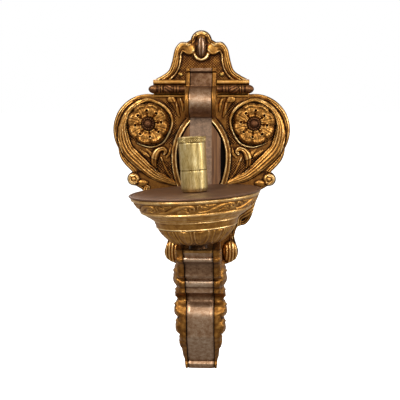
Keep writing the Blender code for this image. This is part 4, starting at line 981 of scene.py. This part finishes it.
# %% [markdown]
# The base under the bowl was spun as a piece of its own and chased with upright tongues, each a
# rounded leaf with a raised border. They sway a little in width, as hand work does, so their
# spacing is a wave on the angle and not an even count.

# %% Tongued base
BASE_OUT = np.array([
    (40.7, 31.7), (41.1, 31.2), (41.1, 30.6), (40.2, 29.9), (39.6, 27.6), (38.9, 25.6), (38.6, 24.6),
    (38.9, 24.0), (38.3, 23.3), (36.9, 23.0), (36.4, 22.2), (34.4, 18.8), (31.2, 15), (26.8, 10.4),
    (22.2, 8), (16, 7.1), (10, 6.5), (3.3, 6.5)])
BASE_IN = np.array([(3.3, 10.5), (18.2, 11), (24.8, 14), (32.5, 22), (36.3, 31.7)])
outer = even(BASE_OUT, 96)
profile = np.vstack([outer, even(BASE_IN, 14)])
turn = around(560)
run = run_of(profile)
top_run, low_run = np.interp([22.6, 7.6], profile[:96, 1][::-1], run[:96][::-1])
down = ((run - top_run) / (low_run - top_run))[:, None]
TONGUES = 14
sway = 0.1 * np.sin(3 * turn + 1) + 0.07 * np.sin(8 * turn)
across = ((turn * TONGUES / (math.tau) + 0.62 + sway) % 1) * 2 - 1 + 0 * down
tongue = np.hypot(across / 0.92, np.clip(down - 0.35, 0, 9) / (0.58 + 0.05 * np.sin(5 * turn)))
border = np.exp(-((tongue - 0.84) / 0.1) ** 2)
vein = np.exp(-(across / 0.1) ** 2) * (down < 0.8)
leafy = 0.85 * border + 0.6 * bead(tongue, 0.62) + 0.35 * vein
between = (tongue > 1.0) * (0.18 * np.cos(turn * 110) * np.cos(down * 30) - 0.1)
push = ((down > 0) & (down < 1.0) & (np.arange(len(run))[:, None] < 96)) * (leafy + between)
level = profile[:, 1:]
# Painted highlight on the top edge and on the bead at 23.9, and painted shade darkening the foot towards the
# shelf.
painted_bands = 0.12 * (level > 29.8) + 0.22 * (np.abs(level - 23.9) < 0.8) - 0.2 * step_up(-level, -13, -8)
give(turned("tongued_base", profile, 560, GILT, push, 0.58, 0.36, painted_light_and_marks=painted_bands), "cup", "gilt", "cup_base")

# %% [markdown]
# A flat disc covers the cup. It is plain sheet, a little uneven from being beaten flat, with a
# thin raised ring round its edge.

# %% Cover disc
COVER_PROFILE = np.array([
    (3.3, 55.2), (20, 55.25), (40, 55.35), (58.6, 55.45), (59.4, 55.3), (60.2, 55.75), (61.8, 55.8),
    (62.7, 55.5), (63, 55.0), (62.9, 54.5), (62.3, 54.0), (3.3, 54.0)])
profile = np.vstack([even(COVER_PROFILE[:4], 34), even(COVER_PROFILE[4:11], 30), even(COVER_PROFILE[10:], 6)])
turn = around(360)
wobble = 0.09 * np.sin(3 * turn + 1) * np.sin(profile[:, :1] / 13) + 0.05 * np.sin(5 * turn + profile[:,
                                                                                                      :1] / 9)
wobble = wobble * (np.arange(len(profile))[:, None] < 34)
give(turned("cover_disc", profile, 360, COVER, wobble, 0.5, 0.6), "cup", "cover", "cup_cover")

# %% [markdown]
# The candle socket is a length of drawn brass tube with a scribed line and small prick marks, and
# a knurled collar round its mouth. The knurl is two sets of slanted ridges that cross.

# %% Socket and collar
SEAT = 55.9
TUBE = np.array([
    (11.25, 66.1), (11.25, 107.4), (12.15, 107.4), (12.15, 102.1), (12.75, 102.0), (12.75, 76.6),
    (12.55, 76.3), (12.55, 75.9), (12.75, 75.6), (12.75, 59), (12.05, 56.5), (11.55, 55.9),
    (11.25, 56.3), (11.25, 64.9)])
profile = np.vstack([[(0.0, 66.1)], even(TUBE, 170), [(0.0, 64.9)]])
columns = 200
turn = around(columns)
arc_mm = turn * 12.75
away, level = profile[:, :1], profile[:, 1:]
outside = (away > 12.5) & (level < 101)
prick = np.zeros((len(profile), columns))
for spot in np.arange(-math.pi, math.pi, math.pi / 4.5):
    gap = np.hypot(((turn - spot + math.pi) % math.tau - math.pi) * 12.75, level - 76.1)
    prick = prick - 0.28 * np.exp(-(gap / 0.55) ** 2)
dents = 0.05 * np.sin(2 * turn + level / 6) * np.sin(level / 4.4)
push = outside * (prick + dents)
# Darker in the prick marks and along the scribed line.
darker_pricks_and_line = outside * (1.7 * prick - 0.22 * (np.abs(level - 76.1) < 0.45))
give(turned("socket_tube", profile, columns, BRASS, push, 0.6, 1.2, 2, closed=False, painted_light_and_marks=darker_pricks_and_line), "socket",
     "brass",
     "candle_socket")

COLLAR = np.array([
    (12.45, 107.4), (13.1, 107.4), (13.5, 107.1), (13.6, 106.8), (13.6, 103.0), (13.5, 102.7),
    (13.1, 102.4), (12.45, 102.4)])
profile = even(COLLAR, 60)
columns = 336
turn = around(columns)
away, level = profile[:, :1], profile[:, 1:]
band_here = step_up(level, 102.9, 103.5) * step_up(-level, -106.6, -106.0) * (away > 13.4)
knurl = np.abs(np.sin(21 * turn + level * 1.6)) * np.abs(np.sin(21 * turn - level * 1.6))
push = band_here * (0.42 * knurl - 0.42)
give(turned("knurled_ring", profile, columns, BRASS, push, 0.44, 2.2, 2), "socket", "brass", "knurled_collar")

# %% [markdown]
# The rest of the frame keeps its own shapes: the board, its hanger and screws, the rod, nut and
# spigot, the shelf and the pins. Each gets the finish of what it is made of.

# %% Finishes of the kept parts
KEPT = ((BOARD_WOOD, "back_board"), (COLUMN_WOOD, "bracket_core"),
        (SHELF, "shelf_plate"), (RING, "foot_ring"),
        (STEEL, "bowl_nut centre_rod hanger_plate hanger_screw_1 hanger_screw_2 bracket_screw_top"
                " bracket_screw_bottom"),
        (FITTING, "socket_spigot plate_pin_1 plate_pin_2 plate_pin_3 plate_pin_4"))
for skin, names in KEPT:
    for name in names.split():
        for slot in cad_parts[name].material_slots:
            slot.material = skin
print("finishes given to", sum(len(names.split()) for _, names in KEPT), "kept parts")
